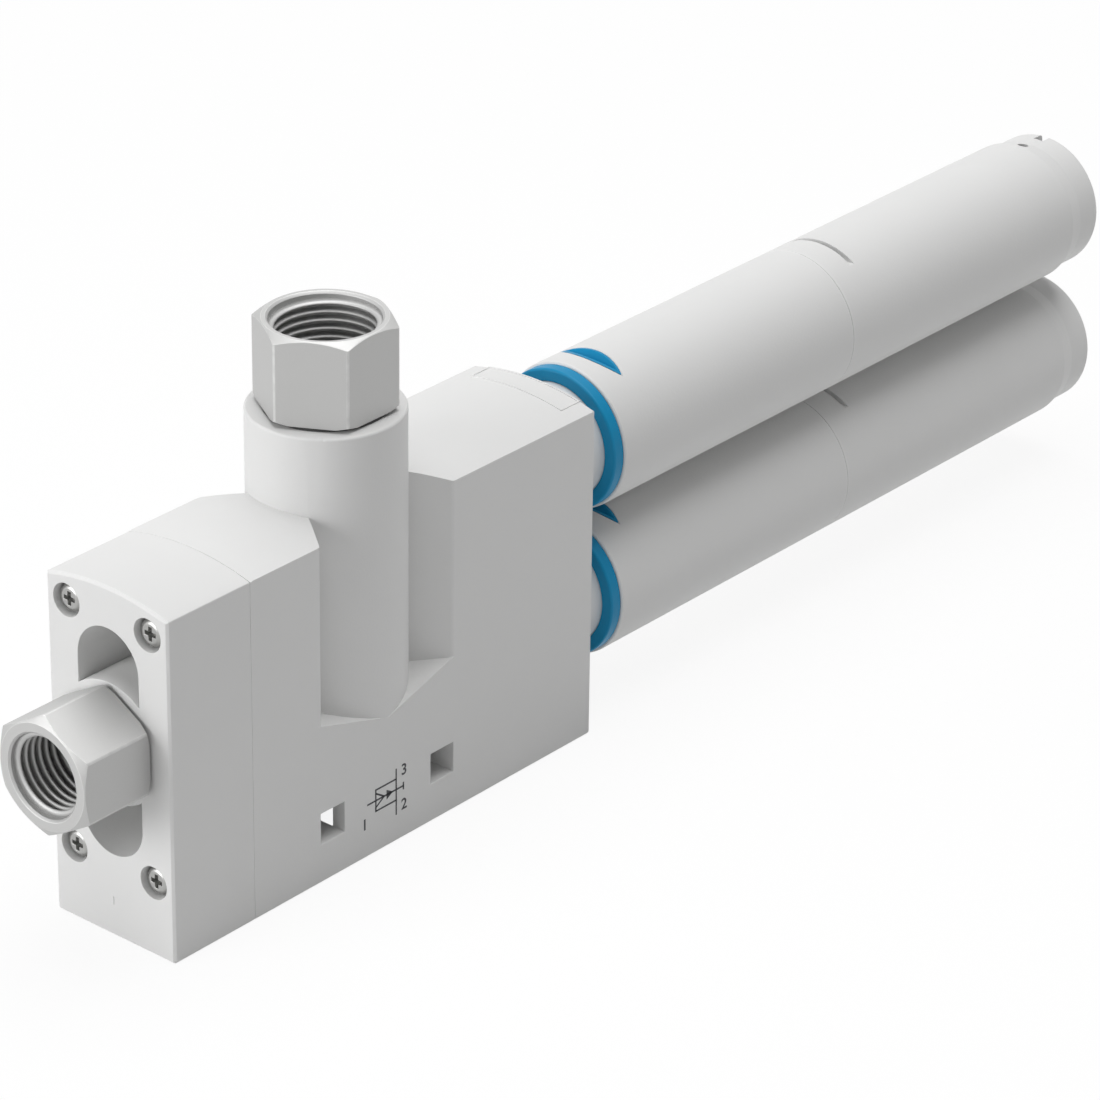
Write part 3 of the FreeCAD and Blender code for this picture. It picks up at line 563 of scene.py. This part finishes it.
def porous_foam(name, colour):
    """Open-cell absorber: small pores darkened with painted shade, between light walls."""
    material, tree, shader = new_material(name, {"Specular IOR Level": 0.2})
    place = new_node(tree, "ShaderNodeTexCoord")
    pores = new_node(tree, "ShaderNodeTexVoronoi", {"Scale": 2600.0, "Randomness": 1.0})
    walls = new_node(tree, "ShaderNodeMapRange", {"From Min": 0.1, "From Max": 0.55})
    # The pores take half the colour as painted shade in the holes, the walls the full colour
    shade = new_node(
        tree, "ShaderNodeMix", {"A": toned(colour, 0.5), "B": toned(colour)}, data_type="RGBA")
    dull = new_node(tree, "ShaderNodeMapRange", {"To Min": 0.98, "To Max": 0.85})
    bump = new_node(tree, "ShaderNodeBump", {"Strength": 0.8, "Distance": 0.12 * MM})
    join(
        tree,
        (place, "Object"), (pores, "Vector"),
        (pores, "Distance"), (walls, "Value"),
        (walls, 0), (shade, "Factor"),
        (shade, 2), (shader, "Base Color"),
        (walls, 0), (dull, "Value"),
        (dull, 0), (shader, "Roughness"),
        (walls, 0), (bump, "Height"),
        (bump, 0), (shader, "Normal"),
    )
    return material


def printed_ink(name, colour):
    """Pad-printed ink: nearly black, thin in places."""
    material, tree, shader = new_material(name, {"Specular IOR Level": 0.35})
    place = new_node(tree, "ShaderNodeTexCoord")
    blotch = new_node(tree, "ShaderNodeTexNoise", {"Scale": 1800.0, "Detail": 3.0})
    thin = new_node(
        tree, "ShaderNodeMix", {"A": toned(colour), "B": toned(colour, 3.0)}, data_type="RGBA")
    rough = new_node(tree, "ShaderNodeMapRange", {"To Min": 0.5, "To Max": 0.7})
    join(
        tree,
        (place, "Object"), (blotch, "Vector"),
        (blotch, 0), (thin, "Factor"),
        (thin, 2), (shader, "Base Color"),
        (blotch, 0), (rough, "Value"),
        (rough, 0), (shader, "Roughness"),
    )
    return material


def finish_material(name):
    """A finish by name, made the first time that a piece asks for it."""
    found = bpy.data.materials.get(name)
    if found:
        return found
    colours = bpy.context.scene.ejector_colours
    along_x = Euler((0, math.radians(-90), 0))
    upright = Euler((0, 0, 0))
    pressure_centre = (PRESSURE_LOW.x, 0, PORT_HEIGHT)
    vacuum_centre = (TOWER_X, 0, VACUUM_LOW.z)
    screw_centre = (COVER_LOW.x, 0, PORT_HEIGHT)
    extension_low, extension_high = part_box("upper_extension")
    # Rims along X that get a band of painted highlight
    tube_rims = (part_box("upper_silencer")[0].x, extension_low.x, extension_high.x)
    ring_rims = (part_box("upper_locking_ring")[0].x,)
    makers = {
        "housing_plastic": lambda: moulded_plastic(name, colours.housing, 0.55),
        "silencer_plastic": lambda: moulded_plastic(
            name, colours.silencer, 0.52, 2.4, rims=tube_rims),
        "ring_plastic": lambda: moulded_plastic(
            name, colours.ring, 0.40, 3.5, 0.01, 0.5, 0.25, ring_rims),
        "receiver_plastic": lambda: moulded_plastic(name, colours.receiver, 0.45),
        "seal_rubber": lambda: moulded_plastic(name, colours.rubber, 0.72, 4.0, 0.03, 0.2),
        "pressure_metal": lambda: turned_metal(
            name, colours.metal, 0.55, pressure_centre, along_x),
        "vacuum_metal": lambda: turned_metal(name, colours.metal, 0.55, vacuum_centre, upright),
        "screw_metal": lambda: turned_metal(name, colours.screw, 0.32, screw_centre, along_x, 0.9),
        "nozzle_brass": lambda: turned_metal(
            name, colours.brass, 0.28, screw_centre, along_x, 1.0),
        "absorber_foam": lambda: porous_foam(name, colours.foam),
        "symbol_ink": lambda: printed_ink(name, colours.ink),
    }
    return makers[name]()


# Mesh helpers

# Edges that turn more than the first are rounded, and those under the second shade smoothly
SHARP_TURN = math.radians(24)
SMOOTH_TURN = math.radians(35)
# Neighbouring triangles that turn less are one flat face
FLAT_TURN = math.radians(0.5)
# Distances within which a solid's triangles are joined, and points left by a rounding welded
JOIN_GAP = 0.004 * MM
WELD_GAP = 0.0005 * MM
# How far a thread's ridge stands in the wall of its bore
THREAD_SEAT = 0.06 * MM


def new_piece(name, shape, finish):
    """Makes an object of a bmesh and sets it on the part's one body."""
    mesh = bpy.data.meshes.new(name)
    shape.to_mesh(mesh)
    shape.free()
    stale = mesh.attributes.get("custom_normal")
    if stale:
        mesh.attributes.remove(stale)
    piece = bpy.data.objects.new(name, mesh)
    bpy.context.scene.collection.objects.link(piece)
    mesh.materials.append(finish_material(finish))
    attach(piece, "root")
    return piece


def whole_copy(node):
    """A bmesh of a solid, with its triangles joined and its flats made whole."""
    shape = bmesh.new()
    shape.from_mesh(NODES[node].data)
    bmesh.ops.remove_doubles(shape, verts=shape.verts[:], dist=JOIN_GAP)
    bmesh.ops.dissolve_limit(
        shape, angle_limit=FLAT_TURN, verts=shape.verts[:], edges=shape.edges[:]
    )
    return shape


def weld(shape, verts):
    """Joins vertices that lie on one another, and drops those that carry no face."""
    bmesh.ops.remove_doubles(shape, verts=verts, dist=WELD_GAP)
    loose = [vert for vert in shape.verts if not vert.link_faces]
    bmesh.ops.delete(shape, geom=loose, context="VERTS")


def turn_outward(shape):
    """Turns the faces of a closed form outward, also where its folds mislead the first try."""
    bmesh.ops.recalc_face_normals(shape, faces=shape.faces[:])
    if shape.calc_volume(signed=True) < 0:
        bmesh.ops.reverse_faces(shape, faces=shape.faces[:])


def middle_of(edge):
    """The point halfway along an edge, by which it is picked."""
    return (edge.verts[0].co + edge.verts[1].co) / 2


def round_edges(shape, mark, chosen, width, segments):
    """Rounds the sharp edges that a test picks by their middle, and marks the new faces."""
    edges = []
    for edge in shape.edges:
        if any(face[mark] > 0.5 for face in edge.link_faces):
            continue
        if edge.calc_face_angle(0.0) > SHARP_TURN and chosen(middle_of(edge)):
            edges.append(edge)
    made = bmesh.ops.bevel(
        shape, geom=edges, offset=width, offset_type="OFFSET", segments=segments,
        profile=0.5, affect="EDGES", material=-1, clamp_overlap=False, loop_slide=True,
    )
    for face in made["faces"]:
        face[mark] = 1.0


def eased_piece(node, name, finish, passes, segments=2):
    """Stands a copy of a solid in its place, its edges rounded in passes of width and test."""
    shape = whole_copy(node)
    mark = shape.faces.layers.float.new(EDGE_MARK)
    for width, chosen in passes:
        round_edges(shape, mark, chosen, width, segments)
    weld(shape, shape.verts[:])
    for face in shape.faces:
        face.smooth = True
    for edge in shape.edges:
        edge.smooth = edge.calc_face_angle(0.0) < SMOOTH_TURN
    piece = new_piece(name, shape, finish)
    even = piece.modifiers.new("even_shading", "WEIGHTED_NORMAL")
    even.mode = "FACE_AREA"
    even.weight = 50
    even.keep_sharp = True
    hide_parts(node)
    return piece


def give_finish(node, finish):
    """Puts a finish on a solid that shows as it is."""
    for slot in NODES[node].material_slots:
        slot.material = finish_material(finish)


def thread_ridge(wall, pitch, depth, turns, steps=48):
    """A helical ridge on the inside of a bore along Z, from Z = 0 down, faded at both ends."""
    base, crest = wall + THREAD_SEAT, wall - depth
    profile = [(-0.46, base), (-0.14, crest + 0.12 * depth), (-0.05, crest)]
    profile += [(-share, radius) for share, radius in reversed(profile)]
    shape = bmesh.new()
    first = [shape.verts.new((radius, 0, share * pitch)) for share, radius in profile]
    ring = [shape.edges.new((first[i], first[(i + 1) % len(first)])) for i in range(len(first))]
    shape.faces.new(first)
    count = int(turns * steps)
    turn = Matrix.Rotation(2 * math.pi / steps, 4, "Z")
    drop = Matrix.Translation((0, 0, -pitch / steps))
    rings = [first]
    for _ in range(count):
        made = bmesh.ops.extrude_edge_only(shape, edges=ring)["geom"]
        verts = [item for item in made if isinstance(item, bmesh.types.BMVert)]
        ring = [item for item in made if isinstance(item, bmesh.types.BMEdge)]
        ring = [edge for edge in ring if all(vert in verts for vert in edge.verts)]
        bmesh.ops.transform(shape, matrix=drop @ turn, verts=verts)
        rings.append(verts)
    bmesh.ops.holes_fill(shape, edges=ring, sides=0)
    fade = steps // 3
    for place, verts in enumerate(rings):
        share = min(1.0, place / fade, (count - place) / fade)
        for vert in verts:
            radius = math.hypot(vert.co.x, vert.co.y)
            sunk = (base + (radius - base) * share) / radius
            vert.co.x *= sunk
            vert.co.y *= sunk
    for face in shape.faces:
        face.smooth = True
    turn_outward(shape)
    return shape


def add_bar(shape, start, end, width, lift):
    """A printed line on the near side face, between two (x, z) points."""
    start, end = Vector(start), Vector(end)
    along = end - start
    middle = (start + end) / 2
    place = Matrix.Translation((middle.x, NEAR_SIDE - lift / 2, middle.y))
    tilt = Matrix.Rotation(-math.atan2(along.y, along.x), 4, "Y")
    size = Matrix.Diagonal((along.length + width, lift, width, 1))
    bmesh.ops.create_cube(shape, size=1.0, matrix=place @ tilt @ size)


def crown_height(y):
    """Height of the housing's crowned top at a distance from its middle plane."""
    return SIDE_TOP + CROWN_RISE * (1 - (y / HOUSING_HIGH.y) ** 2)


def add_strip(shape, start, end, width):
    """A flat strip between two (x, y) points, in steps that can follow the crown."""
    start, end = Vector((*start, 0)), Vector((*end, 0))
    along = end - start
    place = Matrix.Translation((start + end) / 2)
    turn = Matrix.Rotation(math.atan2(along.y, along.x), 4, "Z")
    size = Matrix.Diagonal(((along.length + width) / 2, width / 2, 1, 1))
    bmesh.ops.create_grid(
        shape, x_segments=24, y_segments=1, size=1.0, matrix=place @ turn @ size)


def add_text(shape, words, x, z, height, weight, lift):
    """Printed figures on the near side face, centred on a point."""
    curve = bpy.data.curves.new("figures", "FONT")
    curve.body = words
    curve.size = height
    curve.offset = weight
    curve.extrude = lift / 2
    curve.align_x = "CENTER"
    curve.align_y = "CENTER"
    carrier = bpy.data.objects.new("figures", curve)
    bpy.context.scene.collection.objects.link(carrier)
    bpy.context.view_layer.update()
    mesh = bpy.data.meshes.new_from_object(carrier)
    upright = Matrix.Rotation(math.radians(90), 4, "X")
    mesh.transform(Matrix.Translation((x, NEAR_SIDE - lift / 2, z)) @ upright)
    before = set(shape.verts)
    shape.from_mesh(mesh)
    weld(shape, [vert for vert in shape.verts if vert not in before])
    bpy.data.objects.remove(carrier)
    bpy.data.curves.remove(curve)
    bpy.data.meshes.remove(mesh)


# Tests of where on the block an edge lies

# The seen shell of the block: its depth at the front and at the rear, the distance from the
# middle plane where it starts, and the heights below and above which it lies
SHELL_FRONT, SHELL_REAR = 3 * MM, 1 * MM
SHELL_SIDE, SHELL_BASE, SHELL_TOP = 9 * MM, 0.8 * MM, 54 * MM
# A reach along X that holds the recesses beside the tower, and a height below their floors
RECESS_REACH, RECESS_FOOT = 16.5 * MM, 20 * MM
# Heights between which the upright edges of the recesses have their middles
UPRIGHT_LOW, UPRIGHT_HIGH = 27 * MM, 54 * MM
# A radius between the tower's bores and its wall
TOWER_INSIDE = 9.5 * MM
# Depth and width of the bands that hold the chamfers round the front and rear faces
CHAMFER_DEPTH, CHAMFER_BAND = 0.45 * MM, 0.7 * MM
# Width and half height of the bands that hold the long edges beside the crown
LONG_EDGE_INSET, LONG_EDGE_BAND = 0.2 * MM, 0.6 * MM


def everywhere(point):
    """A test that leaves no edge out."""
    return True


def on_shell(point):
    """Whether a place on the block can be seen from outside."""
    at_end = point.x < COVER_LOW.x + SHELL_FRONT or point.x > BLOCK_REAR - SHELL_REAR
    return (at_end or abs(point.y) > SHELL_SIDE
            or point.z < SHELL_BASE or point.z > SHELL_TOP)


def by_tower(point):
    """Whether a place lies on the tower or in the recesses beside it."""
    return abs(point.x - TOWER_X) < RECESS_REACH and point.z > RECESS_FOOT


def at_joint(point):
    """Whether a place lies on the outer joint of cover and housing."""
    return abs(point.x - COVER_HIGH.x) < JOIN_GAP and on_shell(point)


def at_end_chamfer(point):
    """Whether a place lies on the narrow chamfer round the block's front or rear face."""
    if min(abs(point.x - COVER_LOW.x), abs(point.x - BLOCK_REAR)) > CHAMFER_DEPTH:
        return False
    beside = abs(point.y) > HOUSING_HIGH.y - CHAMFER_BAND
    above = point.z > crown_height(point.y) - CHAMFER_BAND
    return beside or above or point.z < CHAMFER_BAND


def at_long_edge(point):
    """Whether a place lies on a long edge between the crown and a side face."""
    beside = abs(point.y) > HOUSING_HIGH.y - LONG_EDGE_INSET
    level = abs(point.z - SIDE_TOP) < LONG_EDGE_BAND
    return beside and level and not by_tower(point) and not at_joint(point)


def at_opening(point):
    """Whether a place lies on a window, a hole or a recess of the block."""
    if at_joint(point) or at_end_chamfer(point) or at_long_edge(point):
        return False
    if by_tower(point):
        outside = math.hypot(point.x - TOWER_X, point.y) > TOWER_INSIDE
        return outside and UPRIGHT_LOW < point.z < UPRIGHT_HIGH
    return on_shell(point)


# Operators

# A hexagon's long edges lie within this much of its widest reach
CORNER_BAND = 0.03 * MM
# Shares of the pitch by which a thread starts below the mouth, and is shorter than the bore
THREAD_START, THREAD_SHORT = 0.3, 0.85
# The label frame: its front and rear lines before the rear face, its half width, and how deep
# it sits in the crown
LABEL_FRONT, LABEL_REAR = 4.6 * MM, 0.5 * MM
LABEL_SIDE, LABEL_SEAT = 9.0 * MM, 0.05 * MM
# The gate mark's middle from the foot of the front face, its size and its rounding, in mm
GATE_PLACE, GATE_SIZE, GATE_ROUND = (-0.03, 0.25, 6.0), (0.16, 0.22, 1.3), 0.04
# The flow symbol on the side face, in mm along X from the tower's axis and above the base
SYMBOL_LINES = (
    ((-2.75, 7.2), (1.75, 7.2)),
    ((-2.75, 10.8), (1.75, 10.8)),
    ((-2.75, 7.2), (-2.75, 10.8)),
    ((1.75, 4.8), (1.75, 12.4)),
    ((-4.5, 9.0), (3.35, 9.0)),
    ((-2.75, 10.2), (-0.9, 9.0)),
    ((-2.75, 7.8), (-0.9, 9.0)),
    ((3.35, 8.5), (3.35, 9.5)),
)
SYMBOL_ARROW, ARROW_RADIUS = (0.1, 9.0), 0.95
SYMBOL_FIGURES = (("1", (-5.2, 5.8)), ("2", (3.5, 5.8)), ("3", (3.5, 11.7)))
FIGURE_HEIGHT = 2.6 * MM


def on_side_face(point):
    """The (x, z) of a point of the flow symbol, in metres."""
    return TOWER_X + point[0] * MM, point[1] * MM


class EJECTOR_OT_mouldings(bpy.types.Operator):
    """Finish the housing and its front cover"""

    bl_idname = "ejector.mouldings"
    bl_label = "Housing and cover"

    def execute(self, context):
        sizes = context.scene.ejector_sizes
        passes = [
            (sizes.joint_round, at_joint),
            (sizes.end_round, at_end_chamfer),
            (sizes.block_round, at_long_edge),
            (sizes.opening_round, at_opening),
        ]
        eased_piece("main_housing", "housing_moulding", "housing_plastic", passes)
        eased_piece("front_cover", "cover_moulding", "housing_plastic", passes)
        return {"FINISHED"}


class EJECTOR_OT_silencers(bpy.types.Operator):
    """Finish the silencers, their extensions and the locking rings"""

    bl_idname = "ejector.silencers"
    bl_label = "Silencers and rings"

    def execute(self, context):
        for line in LINES:
            give_finish(line + "_silencer", "silencer_plastic")
            give_finish(line + "_extension", "silencer_plastic")
            give_finish(line + "_locking_ring", "ring_plastic")
        return {"FINISHED"}


class EJECTOR_OT_fittings(bpy.types.Operator):
    """Finish the hexagonal port fittings and cut their threads"""

    bl_idname = "ejector.fittings"
    bl_label = "Port fittings"

    def execute(self, context):
        sizes = context.scene.ejector_sizes
        pressure_axis = (Vector((0, 0, PORT_HEIGHT)), Vector((0, 1, 1)))
        vacuum_axis = (Vector((TOWER_X, 0, 0)), Vector((1, 1, 0)))
        for port, (centre, across) in (("pressure", pressure_axis), ("vacuum", vacuum_axis)):
            low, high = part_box(port + "_port_fitting")
            corner = max((high - low) * across) / 2 - CORNER_BAND

            def between_flats(point):
                return ((point - centre) * across).length > corner

            eased_piece(
                port + "_port_fitting", port + "_fitting_metal", port + "_metal",
                [(sizes.metal_round, between_flats), (sizes.chamfer_round, everywhere)], 3,
            )
        mounts = {mount["name"]: mount for mount in frame["record"]["mounts"]}
        for port in ("pressure", "vacuum"):
            mount = mounts[port + "_port"]
            wall = mount["dims"]["r_mm"] * MM
            length = mount["dims"]["length_mm"] * MM
            turns = length / sizes.thread_pitch - THREAD_SHORT
            shape = thread_ridge(wall, sizes.thread_pitch, sizes.thread_depth, turns)
            outward = Vector(mount["axis"])
            start = outward * (length / 2 - sizes.thread_pitch * THREAD_START)
            place = Matrix.Translation(Vector(mount["pos_m"]) + start)
            stand = outward.to_track_quat("Z", "Y").to_matrix().to_4x4()
            bmesh.ops.transform(shape, matrix=place @ stand, verts=shape.verts[:])
            new_piece(port + "_thread", shape, port + "_metal")
        return {"FINISHED"}


class EJECTOR_OT_small_parts(bpy.types.Operator):
    """Finish the screws, seals, nozzles and absorbers"""

    bl_idname = "ejector.small_parts"
    bl_label = "Screws and inner parts"

    def execute(self, context):
        sizes = context.scene.ejector_sizes
        eased_piece(
            "cover_screws", "cover_screw_heads", "screw_metal",
            [(sizes.screw_round, everywhere)],
        )
        for node in ("cover_gasket", "pressure_port_seal", "vacuum_port_seal"):
            give_finish(node, "seal_rubber")
        for line in LINES:
            give_finish(line + "_jet_nozzle", "nozzle_brass")
            give_finish(line + "_jet_seal", "seal_rubber")
            give_finish(line + "_receiver_nozzle", "receiver_plastic")
            give_finish(line + "_receiver_seal", "seal_rubber")
            give_finish(line + "_silencer_foam", "absorber_foam")
            give_finish(line + "_extension_foam", "absorber_foam")
        return {"FINISHED"}


class EJECTOR_OT_marks(bpy.types.Operator):
    """Raise the empty label frame on the crown and the gate mark on the cover"""

    bl_idname = "ejector.marks"
    bl_label = "Moulded marks"

    def execute(self, context):
        sizes = context.scene.ejector_sizes
        line, lift = sizes.frame_line, sizes.frame_lift
        front, rear = BLOCK_REAR - LABEL_FRONT, BLOCK_REAR - LABEL_REAR
        shape = bmesh.new()
        add_strip(shape, (front, -LABEL_SIDE), (front, LABEL_SIDE), line)
        add_strip(shape, (rear, -LABEL_SIDE), (rear, LABEL_SIDE), line)
        for y in (-LABEL_SIDE, LABEL_SIDE):
            add_strip(shape, (front + line / 2, y), (rear - line / 2, y), line)
        for vert in shape.verts:
            vert.co.z = crown_height(vert.co.y) - LABEL_SEAT
        raised = bmesh.ops.extrude_face_region(shape, geom=shape.faces[:])["geom"]
        raised = [item for item in raised if isinstance(item, bmesh.types.BMVert)]
        bmesh.ops.translate(shape, vec=(0, 0, lift + LABEL_SEAT), verts=raised)
        bmesh.ops.recalc_face_normals(shape, faces=shape.faces[:])
        new_piece("label_frame", shape, "housing_plastic")

        shape = bmesh.new()
        place = Matrix.Translation(Vector((COVER_LOW.x, 0, 0)) + Vector(GATE_PLACE) * MM)
        size = Matrix.Diagonal((*[part * MM for part in GATE_SIZE], 1))
        bmesh.ops.create_cube(shape, size=1.0, matrix=place @ size)
        bmesh.ops.bevel(
            shape, geom=shape.edges[:], offset=GATE_ROUND * MM, offset_type="OFFSET",
            segments=2, profile=0.5, affect="EDGES", material=-1,
        )
        new_piece("gate_mark", shape, "housing_plastic")
        return {"FINISHED"}


class EJECTOR_OT_symbol(bpy.types.Operator):
    """Print the flow symbol and its port numbers on the near side face"""

    bl_idname = "ejector.symbol"
    bl_label = "Printed symbol"

    def execute(self, context):
        sizes = context.scene.ejector_sizes
        line, lift = sizes.print_line, sizes.print_lift
        shape = bmesh.new()
        for start, end in SYMBOL_LINES:
            add_bar(shape, on_side_face(start), on_side_face(end), line, lift)
        x, z = on_side_face(SYMBOL_ARROW)
        stand = Matrix.Rotation(math.radians(90), 4, "X")
        turn = Matrix.Rotation(math.radians(-90), 4, "Z")
        bmesh.ops.create_cone(
            shape, cap_ends=True, segments=3, radius1=ARROW_RADIUS * MM,
            radius2=ARROW_RADIUS * MM, depth=lift,
            matrix=Matrix.Translation((x, NEAR_SIDE - lift / 2, z)) @ stand @ turn,
        )
        for figure, point in SYMBOL_FIGURES:
            x, z = on_side_face(point)
            add_text(shape, figure, x, z, FIGURE_HEIGHT, sizes.figure_weight, lift)
        turn_outward(shape)
        new_piece("printed_symbol", shape, "symbol_ink")
        return {"FINISHED"}


class EJECTOR_OT_stage(bpy.types.Operator):
    """Build the floor, the lights and the camera"""

    bl_idname = "ejector.stage"
    bl_label = "Studio"

    def execute(self, context):
        make_floor()
        light_studio(context.scene)
        set_camera(context.scene)
        context.scene.view_settings.view_transform = "Standard"
        return {"FINISHED"}


# Stage

FLOOR_REACH = 4.0
FLOOR_DROP = 0.01 * MM
# The share of the floor's white that shadows can darken, and how much light it throws back
SHADOW_SHARE = 0.10
FLOOR_BOUNCE = 0.76


def seen_directly(tree):
    """A factor that is one for camera, glossy and transmission rays and nought for the others."""
    path = new_node(tree, "ShaderNodeLightPath")
    first = new_node(tree, "ShaderNodeMath", operation="MAXIMUM")
    both = new_node(tree, "ShaderNodeMath", operation="MAXIMUM")
    join(
        tree,
        (path, "Is Camera Ray"), (first, 0),
        (path, "Is Glossy Ray"), (first, 1),
        (first, 0), (both, 0),
        (path, "Is Transmission Ray"), (both, 1),
    )
    return both


def make_floor():
    """A white floor that keeps a light shadow and gives a soft bounce."""
    shape = bmesh.new()
    bmesh.ops.create_grid(shape, x_segments=1, y_segments=1, size=FLOOR_REACH)
    mesh = bpy.data.meshes.new("floor")
    shape.to_mesh(mesh)
    shape.free()
    mesh.transform(Matrix.Translation((0, 0, CAD_LOW.z - FLOOR_DROP)))
    floor = bpy.data.objects.new("floor", mesh)
    bpy.context.scene.collection.objects.link(floor)
    material = bpy.data.materials.new("pale_floor")
    material.use_nodes = True
    tree = material.node_tree
    tree.nodes.clear()
    colour = bpy.context.scene.ejector_colours.floor
    bounce = new_node(tree, "ShaderNodeBsdfDiffuse", {"Color": toned(colour, FLOOR_BOUNCE)})
    shadow = new_node(tree, "ShaderNodeBsdfDiffuse", {"Color": toned(colour, SHADOW_SHARE)})
    white = new_node(
        tree, "ShaderNodeEmission", {"Color": toned(colour), "Strength": 1.0 - SHADOW_SHARE})
    shown = new_node(tree, "ShaderNodeAddShader")
    choice = new_node(tree, "ShaderNodeMixShader")
    output = new_node(tree, "ShaderNodeOutputMaterial")
    join(
        tree,
        (shadow, 0), (shown, 0),
        (white, 0), (shown, 1),
        (seen_directly(tree), 0), (choice, 0),
        (bounce, 0), (choice, 1),
        (shown, 0), (choice, 2),
        (choice, 0), (output, 0),
    )
    mesh.materials.append(material)


# Each lamp's name, its power among the studio's values, its direction and its width
LAMPS = (
    ("overhead_lamp", "overhead", Vector((0.1, 0.0, 1.0)), 1.4),
    ("front_lamp", "front", Vector((-0.9, 0.35, 0.2)), 0.9),
)
LAMP_DISTANCE = 1.3


def light_studio(scene):
    """Two large soft lamps, and even light from all around."""
    studio = scene.ejector_studio
    target = Vector((0, 0, (CAD_LOW.z + CAD_HIGH.z) / 2))
    for name, power, direction, width in LAMPS:
        data = bpy.data.lights.new(name, "AREA")
        data.shape = "DISK"
        data.size = width
        data.energy = getattr(studio, power)
        lamp = bpy.data.objects.new(name, data)
        lamp.location = target + direction.normalized() * LAMP_DISTANCE
        lamp.rotation_euler = direction.to_track_quat("Z", "Y").to_euler()
        scene.collection.objects.link(lamp)
    world = bpy.data.worlds.new("studio_world")
    scene.world = world
    world.use_nodes = True
    tree = world.node_tree
    tree.nodes.clear()
    plain = (1.0, 1.0, 1.0, 1.0)
    soft = new_node(tree, "ShaderNodeBackground", {"Color": plain, "Strength": studio.sky})
    white = new_node(tree, "ShaderNodeBackground", {"Color": plain, "Strength": 1.0})
    choice = new_node(tree, "ShaderNodeMixShader")
    output = new_node(tree, "ShaderNodeOutputWorld")
    join(
        tree,
        (seen_directly(tree), 0), (choice, 0),
        (soft, 0), (choice, 1),
        (white, 0), (choice, 2),
        (choice, 0), (output, 0),
    )


# The camera was solved from the photograph's edges
CAMERA_PLACE = Vector((-560.35, -467.67, 396.18)) * MM
CAMERA_HEADING = math.radians(40.328)
CAMERA_DIP = math.radians(27.099)
CAMERA_ROLL = math.radians(0.759)
SENSOR_WIDTH = 36.0


def set_camera(scene):
    """Puts the camera where the photograph was taken from."""
    data = bpy.data.cameras.new("photo_camera")
    data.sensor_width = SENSOR_WIDTH
    data.lens = scene.ejector_studio.lens
    data.clip_start = 0.01
    data.clip_end = 20.0
    level = math.cos(CAMERA_DIP)
    forward = Vector((
        level * math.cos(CAMERA_HEADING), level * math.sin(CAMERA_HEADING),
        -math.sin(CAMERA_DIP),
    ))
    right = forward.cross(Vector((0, 0, 1))).normalized()
    up = right.cross(forward)
    stand = Matrix((right, up, -forward)).transposed().to_4x4()
    camera = bpy.data.objects.new("photo_camera", data)
    roll = Matrix.Rotation(CAMERA_ROLL, 4, "Z")
    camera.matrix_world = Matrix.Translation(CAMERA_PLACE) @ stand @ roll
    scene.collection.objects.link(camera)
    scene.camera = camera


OPERATORS = (
    EJECTOR_OT_mouldings,
    EJECTOR_OT_silencers,
    EJECTOR_OT_fittings,
    EJECTOR_OT_small_parts,
    EJECTOR_OT_marks,
    EJECTOR_OT_symbol,
    EJECTOR_OT_stage,
)


class EJECTOR_PT_panel(bpy.types.Panel):
    """Buttons that build the pieces, and the values that they use"""

    bl_idname = "EJECTOR_PT_panel"
    bl_label = "Vacuum ejector"
    bl_space_type = "VIEW_3D"
    bl_region_type = "UI"
    bl_category = "Ejector"

    def draw(self, context):
        scene = context.scene
        for operator in OPERATORS:
            self.layout.operator(operator.bl_idname)
        for group in (scene.ejector_sizes, scene.ejector_colours, scene.ejector_studio):
            box = self.layout.box()
            for name in group.__annotations__:
                box.prop(group, name)


GROUPS = (EjectorSizes, EjectorColours, EjectorStudio)
CLASSES = GROUPS + OPERATORS + (EJECTOR_PT_panel,)


def register():
    for item in CLASSES:
        bpy.utils.register_class(item)
    bpy.types.Scene.ejector_sizes = bpy.props.PointerProperty(type=EjectorSizes)
    bpy.types.Scene.ejector_colours = bpy.props.PointerProperty(type=EjectorColours)
    bpy.types.Scene.ejector_studio = bpy.props.PointerProperty(type=EjectorStudio)


def unregister():
    del bpy.types.Scene.ejector_studio
    del bpy.types.Scene.ejector_colours
    del bpy.types.Scene.ejector_sizes
    for item in reversed(CLASSES):
        bpy.utils.unregister_class(item)


def main():
    register()
    bpy.ops.ejector.mouldings()
    bpy.ops.ejector.silencers()
    bpy.ops.ejector.fittings()
    bpy.ops.ejector.small_parts()
    bpy.ops.ejector.marks()
    bpy.ops.ejector.symbol()
    bpy.ops.ejector.stage()


if __name__ == "__main__":
    main()
